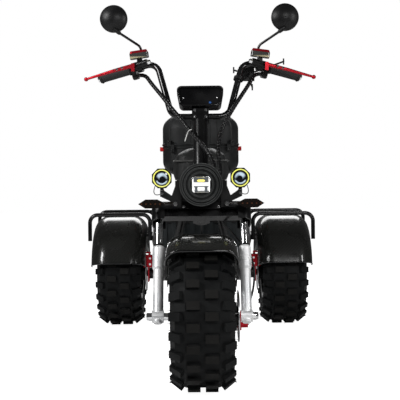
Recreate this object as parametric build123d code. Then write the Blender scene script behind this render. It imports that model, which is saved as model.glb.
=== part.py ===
from build123d import *
import os
from math import asin, cos, pi, radians, sin, sqrt, tan

# Three-wheeled electric scooter. Millimetres, +Z up, the front looks along -Y, +X is the rider's left.
# Everything is drawn from below the front axle with the axles at AXLE_Z, and save() stands it on its
# tyres in the middle of its footprint. FORK_FRAME is the raked frame of the fork: its origin is on
# the front axle, its Z runs up the fork legs and its Y points backwards.

# Fits
SEAT_GAP = 0.3
SLIP_GAP = 0.2
BEARING_GAP = 0.05

# Wheels
AXLE_Z = 228.5
TYRE_R = 228.5
TYRE_W = 198.0
LUG_PITCHES = 22
LUG_H = 14.0
LUG_ROOT = 5.0
LUG_L = 25.0
CENTRE_LUG_X = 27.0
CENTRE_LUG_W = 38.0
EDGE_LUG_X = 75.5
EDGE_LUG_DROP = 26.0
EDGE_LUG_W = 42.0
EDGE_LUG_H = 22.0
EDGE_LUG_LEAN = 38.0
CROWN_HALF = 50.0
SHOULDER_X = 80.0
SHOULDER_DROP = 12.0
BULGE_IN = 4.0
BULGE_R = 172.0
BEAD_IN = 2.0
RIM_R = 104.0
RIM_W = 168.0
RIM_WALL = 10.0
FLANGE_T = 5.0
FLANGE_H = 9.0
WEB_T = 9.0
WEB_HOLE_R = 13.0
WEB_HOLES = 5
HUB_R = 32.0
HUB_BACK = 80.0
DISC_X = 109.2
DISC_T = 4.0
DISC_R = 80.0
WHEELBASE = 1300.0
REAR_TRACK = 720.0
REAR_REACH = 1560.0

# Fork and steering
RAKE = 25.0
FORK_X = 137.0
CROWN_OFFSET = 30.0
AXLE_R = 8.0
STANCHION_R = 13.0
STANCHION_FOOT = 112.0
LOWER_BOTTOM = -22.0
LOWER_TOP = 229.0
LOWER_NECK = 150.0
LOWER_SLIM_R = 16.5
LOWER_BULB_R = 19.5
AXLE_EYE_R = 19.0
AXLE_EYE_W = 36.0
CROWN_Z = 326.0
CROWN_T = 42.7
CROWN_W = 40.0
CROWN_ROUND = 20.0
STEM_R = 15.0
STEM_BOSS_R = 28.0
SHROUD_W = 322.0
SHROUD_D = 98.0
SHROUD_Y = 15.0
SHROUD_LOW = 314.0
SHROUD_LIFT = 346.0
SHROUD_WALL = 3.0
SHROUD_LOBE_X = 118.0
HEAD_LOW = 392.0
HEAD_HIGH = 523.0
HEAD_R = 27.0
COLUMN_R = 25.5
COLUMN_TOP = 699.5
COLLAR_R = 21.0

# Front mudguard, about the front axle
GUARD_GAP = 22.5
GUARD_R = TYRE_R + GUARD_GAP
GUARD_W = 220.0
GUARD_WALL = 3.0
GUARD_DEPTH = 52.0
GUARD_ROUND = 46.0
GUARD_RIDGE_W = 118.0
GUARD_RIDGE_H = 3.0
GUARD_FRONT_DEG = 32.0
GUARD_BACK_DEG = 66.0
STAY_W = 36.0
STAY_LOW = 100.0
STAY_LAP = 37.0
STAY_BOLT = 179.0
STAY_BOLT_R = 6.0

# Lamps
LAMP_Z = 634.0
LAMP_R = 68.0
LAMP_Y = 62.0
LAMP_BARREL = 38.0
LAMP_DEPTH = 73.0
LAMP_BACK_R = 40.0
LAMP_RINGS = ((36.0, 41.0, 2.0), (50.0, 55.0, 2.0))
LAMP_RIM_R = 60.0
LAMP_FACE = 8.0
LAMP_RIBS = 8
LAMP_RIB_W = 4.0
LENS_W = 58.0
LENS_H = 49.0
LENS_T = 9.0
LENS_SILL = 3.0
EAR_Y = 92.0
EAR_T = 6.0
AUX_X = 125.0
AUX_Z = 655.0
AUX_R = 30.0
AUX_Y = 82.0
AUX_DEPTH = 56.0
AUX_LENS_R = 24.5
AUX_RING_T = 6.0
AUX_FLANGE_R = 34.0
AUX_FLANGE_T = 7.0
AUX_FINS = 4
AUX_FIN_T = 3.0
SIGNAL_X = (112.0, 200.0)
SIGNAL_Z = 574.0
SIGNAL_HALF = 14.0
SIGNAL_Y = 84.0
SIGNAL_T = 26.0
STALK_X = 82.0
STALK_R = 5.0

# Handlebar and controls
BAR_R = 11.1
BAR_Z = 718.0
BAR_LOW_X = 98.0
BAR_HIGH = (152.0, 400.0, 1064.0)
BAR_END = (350.0, 450.0, 1015.0)
BAR_BEND = 42.0
CLAMP_W = 58.0
CLAMP_D = 46.0
CLAMP_H = 38.0
GRIP_R = 16.0
GRIP_FROM = 0.47
GRIP_TO = 1.03
LEVER_TAB_X = (228.0, 240.0)
LEVER_TAB_Z = (1030.0, 1058.0)
LEVER_TAB_T = 16.0
LEVER_GAP = 0.5
LEVER_KNEE = (304.0, 376.0, 1033.0)
LEVER_TIP = (400.0, 388.0, 1006.0)
LEVER_RADII = (7.5, 6.0, 4.2)
LEVER_BALL_R = 7.5
END_CAP_R = 12.0
END_CAP_L = 7.0
MASTER_AT = 0.30
MASTER_R = 13.0
MASTER_L = 58.0
MASTER_REACH = 26.0
CUP_W = 66.0
CUP_D = 42.0
CUP_Z = 1077.0
CUP_H = 17.0
CUP_TILT = 8.0
CUP_ROUND = 9.0
CAP_T = 9.0
CAP_LEAN = 24.0
POST_W = 18.0
POD_FROM = 0.38
POD_L = 17.0
POD_D = 34.0
POD_H = 50.0
POD_DROP = 12.0
POD_BACK = 6.0
MIRROR_R = 49.0
MIRROR_AT = (303.0, 400.0, 1221.0)
MIRROR_T = 24.0
MIRROR_LIP = 5.0
MIRROR_WALL = 3.0
MIRROR_STEM_R = 4.5
MIRROR_FOOT = (209.0, 430.0, 1068.0)
MIRROR_KNEE = (209.0, 430.0, 1124.0)
MIRROR_TOP = (280.0, 402.0, 1168.0)
MIRROR_BOSS_R = 7.0
DASH_W = (140.0, 167.0)
DASH_Z = (743.0, 823.0)
DASH_Y = 15.0
DASH_T = 34.0
DASH_ROUND = 16.0
DASH_RIM = 9.0
DASH_POCKET = 3.0

# Phone cradle behind the left riser
CRADLE_AT = (0.68, 12.0)
CRADLE_Y = (446.0, 451.0)
CRADLE_PLATE = ((150.0, 195.0), (1000.0, 1050.0))
CRADLE_CLAWS = ((121.0, 1040.0), (300.0, 1069.0), (187.0, 978.0))
CRADLE_ARM_R = 3.2
CLAW_R = 2.6
CLAW_L = 22.0

# Frame
FRAME_TUBE_R = 14.0
FRAME_POINTS = (
    (22.0, 215.0, 592.0), (62.0, 310.0, 530.0), (84.0, 352.0, 440.0), (138.0, 415.0, 305.0),
    (138.0, 885.0, 305.0), (100.0, 940.0, 540.0), (100.0, 1500.0, 540.0),
)
FRAME_BENDS = (60.0, 80.0, 60.0, 60.0, 60.0)
CROSS_R = 12.0
GUSSET_T = 4.0
DECK_CROSS = 55.0
RAIL_CROSS_Y = (960.0, 1250.0, 1490.0)
PIVOT_AT = (812.0, 305.0)
PIVOT_HALF = 184.0
FLOOR_HALF = 150.0
FLOOR_Y = (478.0, 828.0)
FLOOR_Z = (319.3, 330.0)
PANEL_Y = (466.0, 478.0)
PANEL_Z = (319.3, 496.0)
PANEL_RIB = 5.0
PANEL_RIBS = 9
BATTERY_HALF = 120.0
BATTERY_Y = (500.0, 795.0)
BATTERY_Z = (218.0, 319.0)

# Seat and top case
SEAT_HALF = 112.0
SEAT_Y = (742.0, 1180.0)
SEAT_Z = (645.0, 726.0, 780.0)
SEAT_ROUND = 16.0
BASE_HALF = 104.0
BASE_Y = (790.0, 1165.0)
BASE_Z = (554.3, 644.7)
CASE_Y = (1200.0, 1530.0)
CASE_SEAM_HALF = 170.0
CASE_Z = (670.3, 797.0, 798.0, 930.0)
CASE_FOOT_ROUND = 62.0
CASE_TOP_ROUND = 58.0
CASE_ROUND = 84.0
CASE_WALL = 4.0
REFLECTOR_Y = (CASE_Y[0] + 62.0, CASE_Y[0] + 130.0)
HINGE_X = 132.0
HINGE_L = 15.0
HINGE_R = 6.0
HINGE_PIN_R = 3.0
HINGE_ARM = 36.0
HINGE_LEAF = 26.0
HINGE_SPLIT = 2.0
HINGE_Y = 1191.0
HINGE_Z = 797.5
RACK_HALF = 110.0
RACK_Y = (1222.0, 1508.0)
RACK_Z = (662.0, 670.0)
RACK_POST_R = 8.0

# Rear axle, fenders and rails
HOUSING_R = 26.0
HOUSING_GAP = 6.8
HOUSING_END = REAR_TRACK / 2 - DISC_X - DISC_T - HOUSING_GAP
BELL_R = 88.0
BELL_HALF = 75.0
SHAFT_R = 14.0
SHAFT_REACH = 175.0
SHAFT_IN = REAR_TRACK / 2 - SHAFT_REACH
ARM_X = 168.0
ARM_R = 16.0
ARM_EYE_W = 24.0
SHOCK_X = 100.0
SHOCK_R = 12.0
SPRING_R = 24.0
SHOCK_TOP_Y = 1262.0
FENDER_GAP = 31.5
FENDER_R = TYRE_R + FENDER_GAP
FENDER_W = 234.0
FENDER_EDGE = (REAR_TRACK - FENDER_W) / 2
FENDER_WALL = 3.0
FENDER_DEPTH = 78.0
FENDER_ROUND = 66.0
FENDER_FRONT_DEG = 15.0
FENDER_BACK_DEG = 20.0
BRACKET_GAP = 35.0
BRACKET_X = FENDER_EDGE - BRACKET_GAP
BRACKET_T = 5.0
RAIL_R = 8.5
RAIL_GAP = 3.0
RAIL_Z = AXLE_Z + FENDER_R + RAIL_GAP + RAIL_R
RAIL_LEG = 112.0
RAIL_FOOT = RAIL_Z - RAIL_LEG
RAIL_BEND = 34.0
RAIL_INSET = 21.0
RAIL_OUTSET = 3.5
RAIL_INNER_X = FENDER_EDGE - RAIL_INSET
RAIL_CROSS_R = 7.0
RAIL_REACH = 190.0
RAIL_Y = (WHEELBASE - RAIL_REACH, WHEELBASE + RAIL_REACH)
LIFT = (Align.CENTER, Align.CENTER, Align.MIN)
HANG = (Align.CENTER, Align.CENTER, Align.MAX)

FORK_FRAME = Pos(0, 0, AXLE_Z) * Rot(-RAKE, 0, 0)
FRONT_AXLE_Y = -(REAR_REACH - TYRE_R) / 2


def save(name, shape):
    """Write one node, shifted to the middle of the footprint and onto the tyres."""
    export_step(Pos(0, FRONT_AXLE_Y, TYRE_R - AXLE_Z) * shape, f"parts/{name}.step")


def both(shape):
    """The shape and its mirror image on the other side of the vehicle."""
    return Compound([*shape.solids(), *mirror(shape, Plane.YZ).solids()])


def fork_point(x, y, z):
    """A point of the fork's frame in the vehicle's frame."""
    along = radians(RAKE)
    return (x, y * cos(along) + z * sin(along), AXLE_Z + z * cos(along) - y * sin(along))


def block(x, y, z):
    """A block between two corners, each side given as (low, high)."""
    size = Box(x[1] - x[0], y[1] - y[0], z[1] - z[0])
    return Pos((x[0] + x[1]) / 2, (y[0] + y[1]) / 2, (z[0] + z[1]) / 2) * size


def rod(start, end, radius, bore=0.0):
    """A round bar, or a tube, from one point to another."""
    run = Vector(*end) - Vector(*start)
    bar = Cylinder(radius, run.length, align=LIFT)
    if bore > 0:
        bar -= Cylinder(bore, run.length, align=LIFT)
    return Plane(origin=start, z_dir=run) * bar


def bent_bar(points, bends, radius):
    """A round bar of straight runs joined by tangent bends, one bend radius for each inner point."""
    spots = [Vector(*point) for point in points]
    pieces = []
    start = spots[0]
    for before, here, after, bend in zip(spots, spots[1:], spots[2:], bends):
        arrive = (here - before).normalized()
        leave = (after - here).normalized()
        turn = arrive.get_angle(leave)
        cut = bend * tan(radians(turn / 2))
        entry = here - arrive * cut
        pieces.append(rod(start, entry, radius))
        pivot = arrive.cross(leave).normalized()
        centre = entry + pivot.cross(arrive) * bend
        section = Plane(origin=entry, z_dir=arrive) * Circle(radius)
        pieces.append(revolve(section, Axis(centre, pivot), turn))
        start = here + leave * cut
    pieces.append(rod(start, spots[-1], radius))
    return pieces[0].fuse(*pieces[1:])


def cord(points, radius):
    """A cord whose every bend is as large as its two runs allow."""
    spots = [Vector(*point) for point in points]
    bends = []
    for before, here, after in zip(spots, spots[1:], spots[2:]):
        turn = (here - before).get_angle(after - here)
        shorter = min((here - before).length, (after - here).length)
        bends.append(0.45 * shorter / tan(radians(turn / 2)))
    return bent_bar(points, bends, radius)


def plate(outline, plane, thickness):
    """A flat plate from its outline on a plane."""
    return extrude(plane * make_face(Polyline(*outline, close=True)), thickness)


def side_plate(outline, x, thickness):
    """A plate that faces sideways, its outline given as (y, z)."""
    return plate(outline, Plane(origin=(x, 0, 0), x_dir=(0, 1, 0), z_dir=(1, 0, 0)), thickness)


def face_plate(outline, y, thickness):
    """A plate that faces forwards, its outline given as (x, z); it thickens backwards."""
    return plate(outline, Plane(origin=(0, y, 0), x_dir=(1, 0, 0), z_dir=(0, -1, 0)), -thickness)


def turned(profile, axis=Axis.X, angle=360):
    """A solid turned about an axis from (along, radius) points."""
    return revolve(make_face(Polyline(*profile, close=True)), axis, angle)


def taper_rod(start, end, first_radius, last_radius):
    """A round bar that tapers from one point to another."""
    run = Vector(*end) - Vector(*start)
    return Plane(origin=start, z_dir=run) * Cone(first_radius, last_radius, run.length, align=LIFT)


def arch(half, reach, depth, rounding):
    """The filled section of a domed guard about the X axis, from its top down by depth."""
    section = Pos(0, reach - depth / 2) * Rectangle(2 * half, depth)
    return fillet(section.vertices().group_by(Axis.Y)[-1], rounding)


def barrel(profile):
    """A solid turned about the Y axis from (y, radius) points."""
    return revolve(make_face(Polyline(*[(radius, y) for y, radius in profile], close=True)), Axis.Y)


def case_half(inset, z, end_z, rounding):
    """Half of the top case: its rounded plan, drawn in by inset, runs to a rounded end."""
    wide = 2 * (CASE_SEAM_HALF - inset)
    deep = CASE_Y[1] - CASE_Y[0] - 2 * inset
    plan = Pos(0, (CASE_Y[0] + CASE_Y[1]) / 2, z) * RectangleRounded(wide, deep, CASE_ROUND - inset)
    form = extrude(plan, end_z - z)
    return fillet(form.edges().group_by(Axis.Z)[-1 if end_z > z else 0], rounding)


def faceted_ring(section, sides, start_deg):
    """A ring of flat facets about the X axis from (along, reach) points; start_deg is a facet's middle."""
    spread = 1 / cos(pi / sides)
    corners = []
    for spot in range(sides):
        turn = radians(start_deg + 360 / sides * (spot + 0.5))
        corners.append([(x, -reach * spread * sin(turn), reach * spread * cos(turn)) for x, reach in section])
    faces = []
    for here, there in zip(corners, corners[1:] + corners[:1]):
        for first in range(len(section)):
            second = (first + 1) % len(section)
            faces.append(Face(Wire.make_polygon([here[first], here[second], there[second], there[first]])))
    return Solid(Shell(faces))


def tyre():
    """The tyre about the X axis: a faceted carcass with two staggered rows of lugs on each half."""
    crown = TYRE_R - LUG_H
    right = [(CROWN_HALF, crown), (SHOULDER_X, crown - SHOULDER_DROP), (TYRE_W / 2 - BULGE_IN, BULGE_R),
             (RIM_W / 2 - BEAD_IN, RIM_R)]
    left = [(-x, reach) for x, reach in reversed(right)]
    pitch = 360 / LUG_PITCHES
    centre_lug = Pos(0, 0, TYRE_R) * Box(CENTRE_LUG_W, LUG_L, LUG_H + LUG_ROOT, align=HANG)
    edge_lug = Box(EDGE_LUG_W, LUG_L, EDGE_LUG_H)
    lugs = []
    for side, shift in ((1, 0), (-1, pitch / 2)):
        for spot in range(LUG_PITCHES):
            turn = pitch * spot + shift
            lugs.append(Rot(turn, 0, 0) * Pos(side * CENTRE_LUG_X, 0, 0) * centre_lug)
            outward = Pos(side * EDGE_LUG_X, 0, TYRE_R - EDGE_LUG_DROP) * Rot(0, side * EDGE_LUG_LEAN, 0)
            lugs.append(Rot(turn + pitch / 2, 0, 0) * outward * edge_lug)
    return faceted_ring(right + left, LUG_PITCHES, pitch / 4).fuse(*lugs)


def rim(bore, shaft_length):
    """The wheel's rim, web and hub; the brake's side is +X."""
    outer = RIM_R - SEAT_GAP
    half = RIM_W / 2 + SEAT_GAP
    flange = outer + FLANGE_H
    section = [
        (half, flange), (half + FLANGE_T, flange), (half + FLANGE_T, outer - RIM_WALL),
        (-half - FLANGE_T, outer - RIM_WALL), (-half - FLANGE_T, flange), (-half, flange),
        (-half, outer), (half, outer),
    ]
    web_r = outer - RIM_WALL
    web = Rot(0, 90, 0) * Cylinder(web_r + 1.0, WEB_T)
    hole_ring = (HUB_R + web_r) / 2
    for spot in range(WEB_HOLES):
        turn = 360 / WEB_HOLES * spot
        web -= Rot(turn, 0, 0) * Pos(0, 0, hole_ring) * Rot(0, 90, 0) * Cylinder(WEB_HOLE_R, 2 * WEB_T)
    hub = rod((-HUB_BACK, 0, 0), (DISC_X, 0, 0), HUB_R)
    wheel = turned(section) + web + hub
    if bore > 0:
        wheel -= rod((-HUB_BACK - 1, 0, 0), (DISC_X + 1, 0, 0), bore)
    if shaft_length > 0:
        wheel += rod((DISC_X - 1, 0, 0), (DISC_X + shaft_length, 0, 0), SHAFT_R)
    return wheel


def disc(bore):
    """The brake disc against the hub's +X end."""
    return rod((DISC_X, 0, 0), (DISC_X + DISC_T, 0, 0), DISC_R, bore)


def wheel_set(rubber, place, names, bore, shaft_length, disc_bore):
    """Write the tyre, rim and disc of one wheel."""
    save(names[0], place * rubber)
    save(names[1], place * rim(bore, shaft_length))
    save(names[2], place * disc(disc_bore))


def wheels():
    """All three wheels; the rear ones carry their half shafts."""
    rubber = tyre()
    front = Pos(0, 0, AXLE_Z)
    wheel_set(rubber, front, ("front_tyre", "front_rim", "front_disc"), AXLE_R + BEARING_GAP, 0, AXLE_R + 3)
    shaft = REAR_TRACK / 2 - SHAFT_IN - DISC_X
    for side, turn in (("left", 180), ("right", 0)):
        x = REAR_TRACK / 2 if side == "left" else -REAR_TRACK / 2
        place = Pos(x, WHEELBASE, AXLE_Z) * Rot(0, 0, turn)
        names = (f"rear_tyre_{side}", f"rear_rim_{side}", f"rear_disc_{side}")
        wheel_set(rubber, place, names, 0, shaft, SHAFT_R + SLIP_GAP)


def fork():
    """Stem, crown, shroud, legs and axle, all in the raked frame."""
    stem = rod((0, CROWN_OFFSET, CROWN_Z), (0, CROWN_OFFSET, COLUMN_TOP), STEM_R)
    stem += rod((0, CROWN_OFFSET, HEAD_HIGH + 1), (0, CROWN_OFFSET, COLUMN_TOP), COLUMN_R)
    collar_z = CROWN_Z + CROWN_T + SHROUD_WALL + 2 * SEAT_GAP
    stem += rod((0, CROWN_OFFSET, collar_z), (0, CROWN_OFFSET, HEAD_LOW - 1), COLLAR_R)
    save("steering_stem", FORK_FRAME * stem)

    plan = SlotOverall(2 * (FORK_X + CROWN_ROUND), CROWN_W) + Pos(0, CROWN_OFFSET) * Circle(STEM_BOSS_R)
    plan -= Pos(0, CROWN_OFFSET) * Circle(STEM_R + SLIP_GAP)
    for x in (-FORK_X, FORK_X):
        plan -= Pos(x, 0) * Circle(STANCHION_R + SLIP_GAP)
    save("fork_crown", FORK_FRAME * Pos(0, 0, CROWN_Z) * extrude(plan, CROWN_T))

    top = CROWN_Z + CROWN_T + SEAT_GAP + SHROUD_WALL
    wall = SHROUD_WALL
    outer = extrude(RectangleRounded(SHROUD_W, SHROUD_D, 30), top - SHROUD_LOW)
    inner = extrude(RectangleRounded(SHROUD_W - 2 * wall, SHROUD_D - 2 * wall, 30 - wall), top - SHROUD_LOW - wall)
    opening = block((-SHROUD_LOBE_X, SHROUD_LOBE_X), (-SHROUD_D, SHROUD_D), (-1, SHROUD_LIFT - SHROUD_LOW))
    hood = Pos(0, SHROUD_Y, SHROUD_LOW) * (outer - inner - opening)
    hood -= rod((0, CROWN_OFFSET, CROWN_Z), (0, CROWN_OFFSET, top + 1), STEM_R + 2)
    save("fork_shroud", FORK_FRAME * hood)

    post = rod((FORK_X, 0, STANCHION_FOOT), (FORK_X, 0, CROWN_Z + CROWN_T - 1), STANCHION_R)
    save("fork_stanchions", FORK_FRAME * both(post))

    bore = STANCHION_R + SLIP_GAP
    section = [
        (0, LOWER_BOTTOM), (LOWER_SLIM_R - 4, LOWER_BOTTOM), (LOWER_SLIM_R, LOWER_BOTTOM + 6),
        (LOWER_SLIM_R, LOWER_NECK), (LOWER_BULB_R, LOWER_NECK + 8), (LOWER_BULB_R, LOWER_TOP - 6),
        (LOWER_BULB_R - 3, LOWER_TOP), (bore, LOWER_TOP), (bore, STANCHION_FOOT), (0, STANCHION_FOOT),
    ]
    leg = revolve(Plane.XZ * make_face(Polyline(*section, close=True)), Axis.Z)
    leg = Pos(FORK_X, 0, 0) * leg
    half_eye = AXLE_EYE_W / 2
    leg += rod((FORK_X - half_eye, 0, 0), (FORK_X + half_eye, 0, 0), AXLE_EYE_R)
    leg -= rod((FORK_X - half_eye - 1, 0, 0), (FORK_X + half_eye + 1, 0, 0), AXLE_R + SLIP_GAP)
    save("fork_lowers", FORK_FRAME * both(leg))

    eye_in = FORK_X - half_eye
    eye_out = FORK_X + half_eye
    axle = rod((-eye_out - 14, 0, 0), (eye_out + 14, 0, 0), AXLE_R)
    for sign in (-1, 1):
        axle += rod((sign * (eye_out + SEAT_GAP), 0, 0), (sign * (eye_out + 11), 0, 0), 13)
    axle += rod((-eye_in + SEAT_GAP, 0, 0), (-HUB_BACK - 1, 0, 0), 12)
    save("front_axle", Pos(0, 0, AXLE_Z) * axle)


def front_mudguard():
    """The guard over the front wheel with a strap down to each fork leg."""
    half = GUARD_W / 2
    skin = arch(half, GUARD_R, GUARD_DEPTH, GUARD_ROUND)
    skin += Pos(0, GUARD_R) * Rectangle(GUARD_RIDGE_W, 2 * GUARD_RIDGE_H)
    skin -= arch(half - GUARD_WALL, GUARD_R - GUARD_WALL, GUARD_DEPTH, GUARD_ROUND - GUARD_WALL)
    # The revolve runs from the outline's +Y side towards +Z, so the outline starts at the rear edge.
    shell = Rot(90 - GUARD_BACK_DEG, 0, 0) * revolve(skin, Axis.X, GUARD_FRONT_DEG + GUARD_BACK_DEG)
    shell = Pos(0, 0, AXLE_Z) * shell
    strap = block((half - GUARD_WALL, half), (-STAY_W / 2, STAY_W / 2), (STAY_LOW, GUARD_R - STAY_LAP))
    gap = FORK_X - LOWER_BULB_R - half
    strap += rod((half - 1, 0, STAY_BOLT), (half + gap - SEAT_GAP, 0, STAY_BOLT), STAY_BOLT_R)
    save("front_mudguard", shell + FORK_FRAME * both(strap))


def lamps():
    """Headlight, its ears, the two auxiliary lamps and the turn signals."""
    at = Pos(0, LAMP_Y, LAMP_Z)
    shell = barrel([(LAMP_FACE, 0), (LAMP_FACE, LAMP_RIM_R), (0, LAMP_RIM_R), (0, LAMP_R), (LAMP_BARREL, LAMP_R),
                    (LAMP_DEPTH, LAMP_BACK_R), (LAMP_DEPTH, 0)])
    for inner_r, outer_r, front in LAMP_RINGS:
        shell += barrel([(front, inner_r), (front, outer_r), (LAMP_FACE + 1, outer_r), (LAMP_FACE + 1, inner_r)])
    first_r = LAMP_RINGS[0][0] + 1
    rib = block((first_r, LAMP_RIM_R + 1), (LAMP_RINGS[0][2] + 1, LAMP_FACE + 1), (-LAMP_RIB_W / 2, LAMP_RIB_W / 2))
    for arm in range(LAMP_RIBS):
        shell += Rot(0, 360 / LAMP_RIBS * arm, 0) * rib
    facing = Plane(origin=(0, 0, 0), x_dir=(1, 0, 0), z_dir=(0, -1, 0))
    socket = extrude(facing * RectangleRounded(LENS_W + 1, LENS_H + 1, 12), -LENS_T - LAMP_FACE)
    save("headlight_housing", at * (shell - socket))
    lens = extrude(facing * RectangleRounded(LENS_W, LENS_H, 11.5), -LENS_T - LAMP_FACE + LENS_SILL + SEAT_GAP)
    save("headlight_lens", at * Pos(0, LENS_SILL, 0) * lens)

    inner = LAMP_R + SEAT_GAP
    ear = face_plate(((inner, LAMP_Z + 14), (inner + 8, LAMP_Z + 14), (inner + 30, LAMP_Z - 46), (inner + 30, LAMP_Z - 72),
                      (64, LAMP_Z - 72), (64, LAMP_Z - 30), (inner + 1, LAMP_Z - 6)), EAR_Y, EAR_T)
    ear += face_plate(((AUX_X - 32, AUX_Z - 76), (AUX_X + 6, AUX_Z - 58), (AUX_X + 6, AUX_Z - AUX_R - 8),
                       (AUX_X - 6, AUX_Z - AUX_R - 8), (AUX_X - 32, AUX_Z - 56)), EAR_Y, EAR_T)
    shroud_top = CROWN_Z + CROWN_T + SEAT_GAP + SHROUD_WALL
    tab = block((66, 96), (-68, -5), (shroud_top + SEAT_GAP, shroud_top + 5))
    ear += FORK_FRAME * tab
    ear += rod((STALK_X, EAR_Y + 1, SIGNAL_Z), (STALK_X, SIGNAL_Y - 8, SIGNAL_Z), 8)
    save("lamp_brackets", both(ear))

    spot = Pos(AUX_X, AUX_Y, AUX_Z)
    core = AUX_LENS_R - 4
    can = barrel([(AUX_RING_T, 0), (AUX_RING_T, core), (AUX_DEPTH, core), (AUX_DEPTH, 0)])
    flange = facing * RegularPolygon(AUX_FLANGE_R, 8, rotation=22.5)
    can += Pos(0, AUX_RING_T, 0) * extrude(flange, -AUX_FLANGE_T)
    fin_gap = (AUX_DEPTH - AUX_RING_T - AUX_FLANGE_T) / AUX_FINS
    for fin in range(AUX_FINS):
        back = AUX_DEPTH - fin_gap * fin
        can += rod((0, back - AUX_FIN_T, 0), (0, back, 0), AUX_R)
    can += rod((0, EAR_Y - AUX_Y + EAR_T / 2, -AUX_R + 4), (0, EAR_Y - AUX_Y + EAR_T / 2, -AUX_R - 8 + SEAT_GAP), 6)
    save("aux_lamp_housings", both(spot * can))
    ring = barrel([(0, AUX_LENS_R + SEAT_GAP), (0, AUX_R - 2), (AUX_RING_T, AUX_R - 2),
                   (AUX_RING_T, AUX_LENS_R + SEAT_GAP)])
    save("aux_lamp_rings", both(spot * ring))
    glass = barrel([(1, 0), (1, AUX_LENS_R - 6), (3, AUX_LENS_R), (AUX_RING_T, AUX_LENS_R), (AUX_RING_T, 0)])
    save("aux_lamp_lenses", both(spot * glass))

    low, high = SIGNAL_X
    leaf = face_plate(((low, SIGNAL_Z), (low + 28, SIGNAL_Z + SIGNAL_HALF), (high - 22, SIGNAL_Z + SIGNAL_HALF),
                       (high, SIGNAL_Z), (high - 22, SIGNAL_Z - SIGNAL_HALF), (low + 28, SIGNAL_Z - SIGNAL_HALF)),
                      SIGNAL_Y - SIGNAL_T / 2, SIGNAL_T)
    leaf += rod((STALK_X + 8 + SEAT_GAP, SIGNAL_Y, SIGNAL_Z), (low + 10, SIGNAL_Y, SIGNAL_Z), STALK_R)
    save("turn_signals", both(leaf))


def along_bar(share):
    """A point on the handlebar's outer run, from its top bend (0) to its end (1)."""
    return Vector(*BAR_HIGH) + (Vector(*BAR_END) - Vector(*BAR_HIGH)) * share


def handlebar():
    """Bar, clamp, grips and everything clamped to the bar."""
    low = fork_point(BAR_LOW_X, CROWN_OFFSET, BAR_Z)
    half = [low, BAR_HIGH, BAR_END]
    points = [(-x, y, z) for x, y, z in reversed(half)] + half
    save("handlebar", bent_bar(points, [BAR_BEND] * 4, BAR_R))

    clamp = block((-CLAMP_W / 2, CLAMP_W / 2), (CROWN_OFFSET - CLAMP_D / 2, CROWN_OFFSET + CLAMP_D / 2),
                  (COLUMN_TOP + SEAT_GAP, COLUMN_TOP + SEAT_GAP + CLAMP_H))
    clamp -= rod((-CLAMP_W, CROWN_OFFSET, BAR_Z), (CLAMP_W, CROWN_OFFSET, BAR_Z), BAR_R + SLIP_GAP)
    save("bar_clamp", FORK_FRAME * clamp)

    save("grips", both(rod(along_bar(GRIP_FROM), along_bar(GRIP_TO), GRIP_R)
                       - rod(along_bar(GRIP_FROM - 0.1), along_bar(1.0), BAR_R + SLIP_GAP)))
    way = (Vector(*BAR_END) - Vector(*BAR_HIGH)).normalized()
    cap_from = along_bar(GRIP_TO) + way * SEAT_GAP
    save("bar_ends", both(taper_rod(cap_from, cap_from + way * END_CAP_L, END_CAP_R, END_CAP_R - 2)))

    seat = along_bar(MASTER_AT)
    run = (Vector(*BAR_END) - Vector(*BAR_HIGH)).normalized()
    ahead = Vector(0, -MASTER_REACH, 6)
    body = rod(seat - run * 9, seat + run * 9, BAR_R + 7)
    body += rod(seat + ahead - run * 30, seat + ahead + run * (MASTER_L - 30), MASTER_R)
    body += Pos(seat.X, seat.Y - MASTER_REACH / 2, seat.Z + 4) * Box(18, MASTER_REACH, 18)
    body += block((seat.X - POST_W / 2, seat.X + POST_W / 2), (seat.Y - MASTER_REACH - 10, seat.Y - MASTER_REACH + 10),
                  (seat.Z + 6, CUP_Z - SEAT_GAP))
    foot = Vector(*MIRROR_FOOT)
    body += rod((foot.X, foot.Y, foot.Z - 16), foot, 9)
    body -= rod(seat - run * 40, seat + run * 40, BAR_R + SLIP_GAP)
    save("master_cylinders", both(body))

    master_front = seat.Y - MASTER_REACH - MASTER_R + (LEVER_TAB_X[0] - seat.X) * run.Y / run.X
    tab_back = master_front - LEVER_GAP
    lever = block(LEVER_TAB_X, (tab_back - LEVER_TAB_T, tab_back), LEVER_TAB_Z)
    root = (sum(LEVER_TAB_X) / 2, tab_back - LEVER_TAB_T / 2, LEVER_TAB_Z[1] - LEVER_RADII[0])
    lever += taper_rod(root, LEVER_KNEE, LEVER_RADII[0], LEVER_RADII[1])
    lever += Pos(*LEVER_KNEE) * Sphere(LEVER_RADII[1])
    lever += taper_rod(LEVER_KNEE, LEVER_TIP, LEVER_RADII[1], LEVER_RADII[2])
    lever += Pos(*LEVER_TIP) * Sphere(LEVER_BALL_R)
    save("brake_levers", both(lever))


def cups_and_pods():
    """Fluid reservoirs with their caps, and the switch pods."""
    seat = along_bar(MASTER_AT) + Vector(0, -MASTER_REACH, 0)
    lean = Pos(seat.X, seat.Y, CUP_Z + POST_W / 2 * tan(radians(CUP_TILT))) * Rot(0, CUP_TILT, 0)
    plan = RectangleRounded(CUP_W, CUP_D, CUP_ROUND)
    save("reservoirs", both(lean * extrude(plan, CUP_H)))
    save("reservoir_caps", both(lean * Pos(0, 0, CUP_H + SEAT_GAP) * extrude(plan, CAP_T, taper=CAP_LEAN)))

    start = along_bar(POD_FROM)
    run = (Vector(*BAR_END) - Vector(*BAR_HIGH)).normalized()
    frame = Plane(origin=start, x_dir=(0, 1, 0), z_dir=run)
    pod = frame * Pos(POD_BACK, -POD_DROP, 0) * extrude(RectangleRounded(POD_D, POD_H, 10), POD_L)
    pod -= rod(start - run * 5, start + run * (POD_L + 5), BAR_R + SLIP_GAP)
    save("switch_pods", both(pod))


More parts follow.
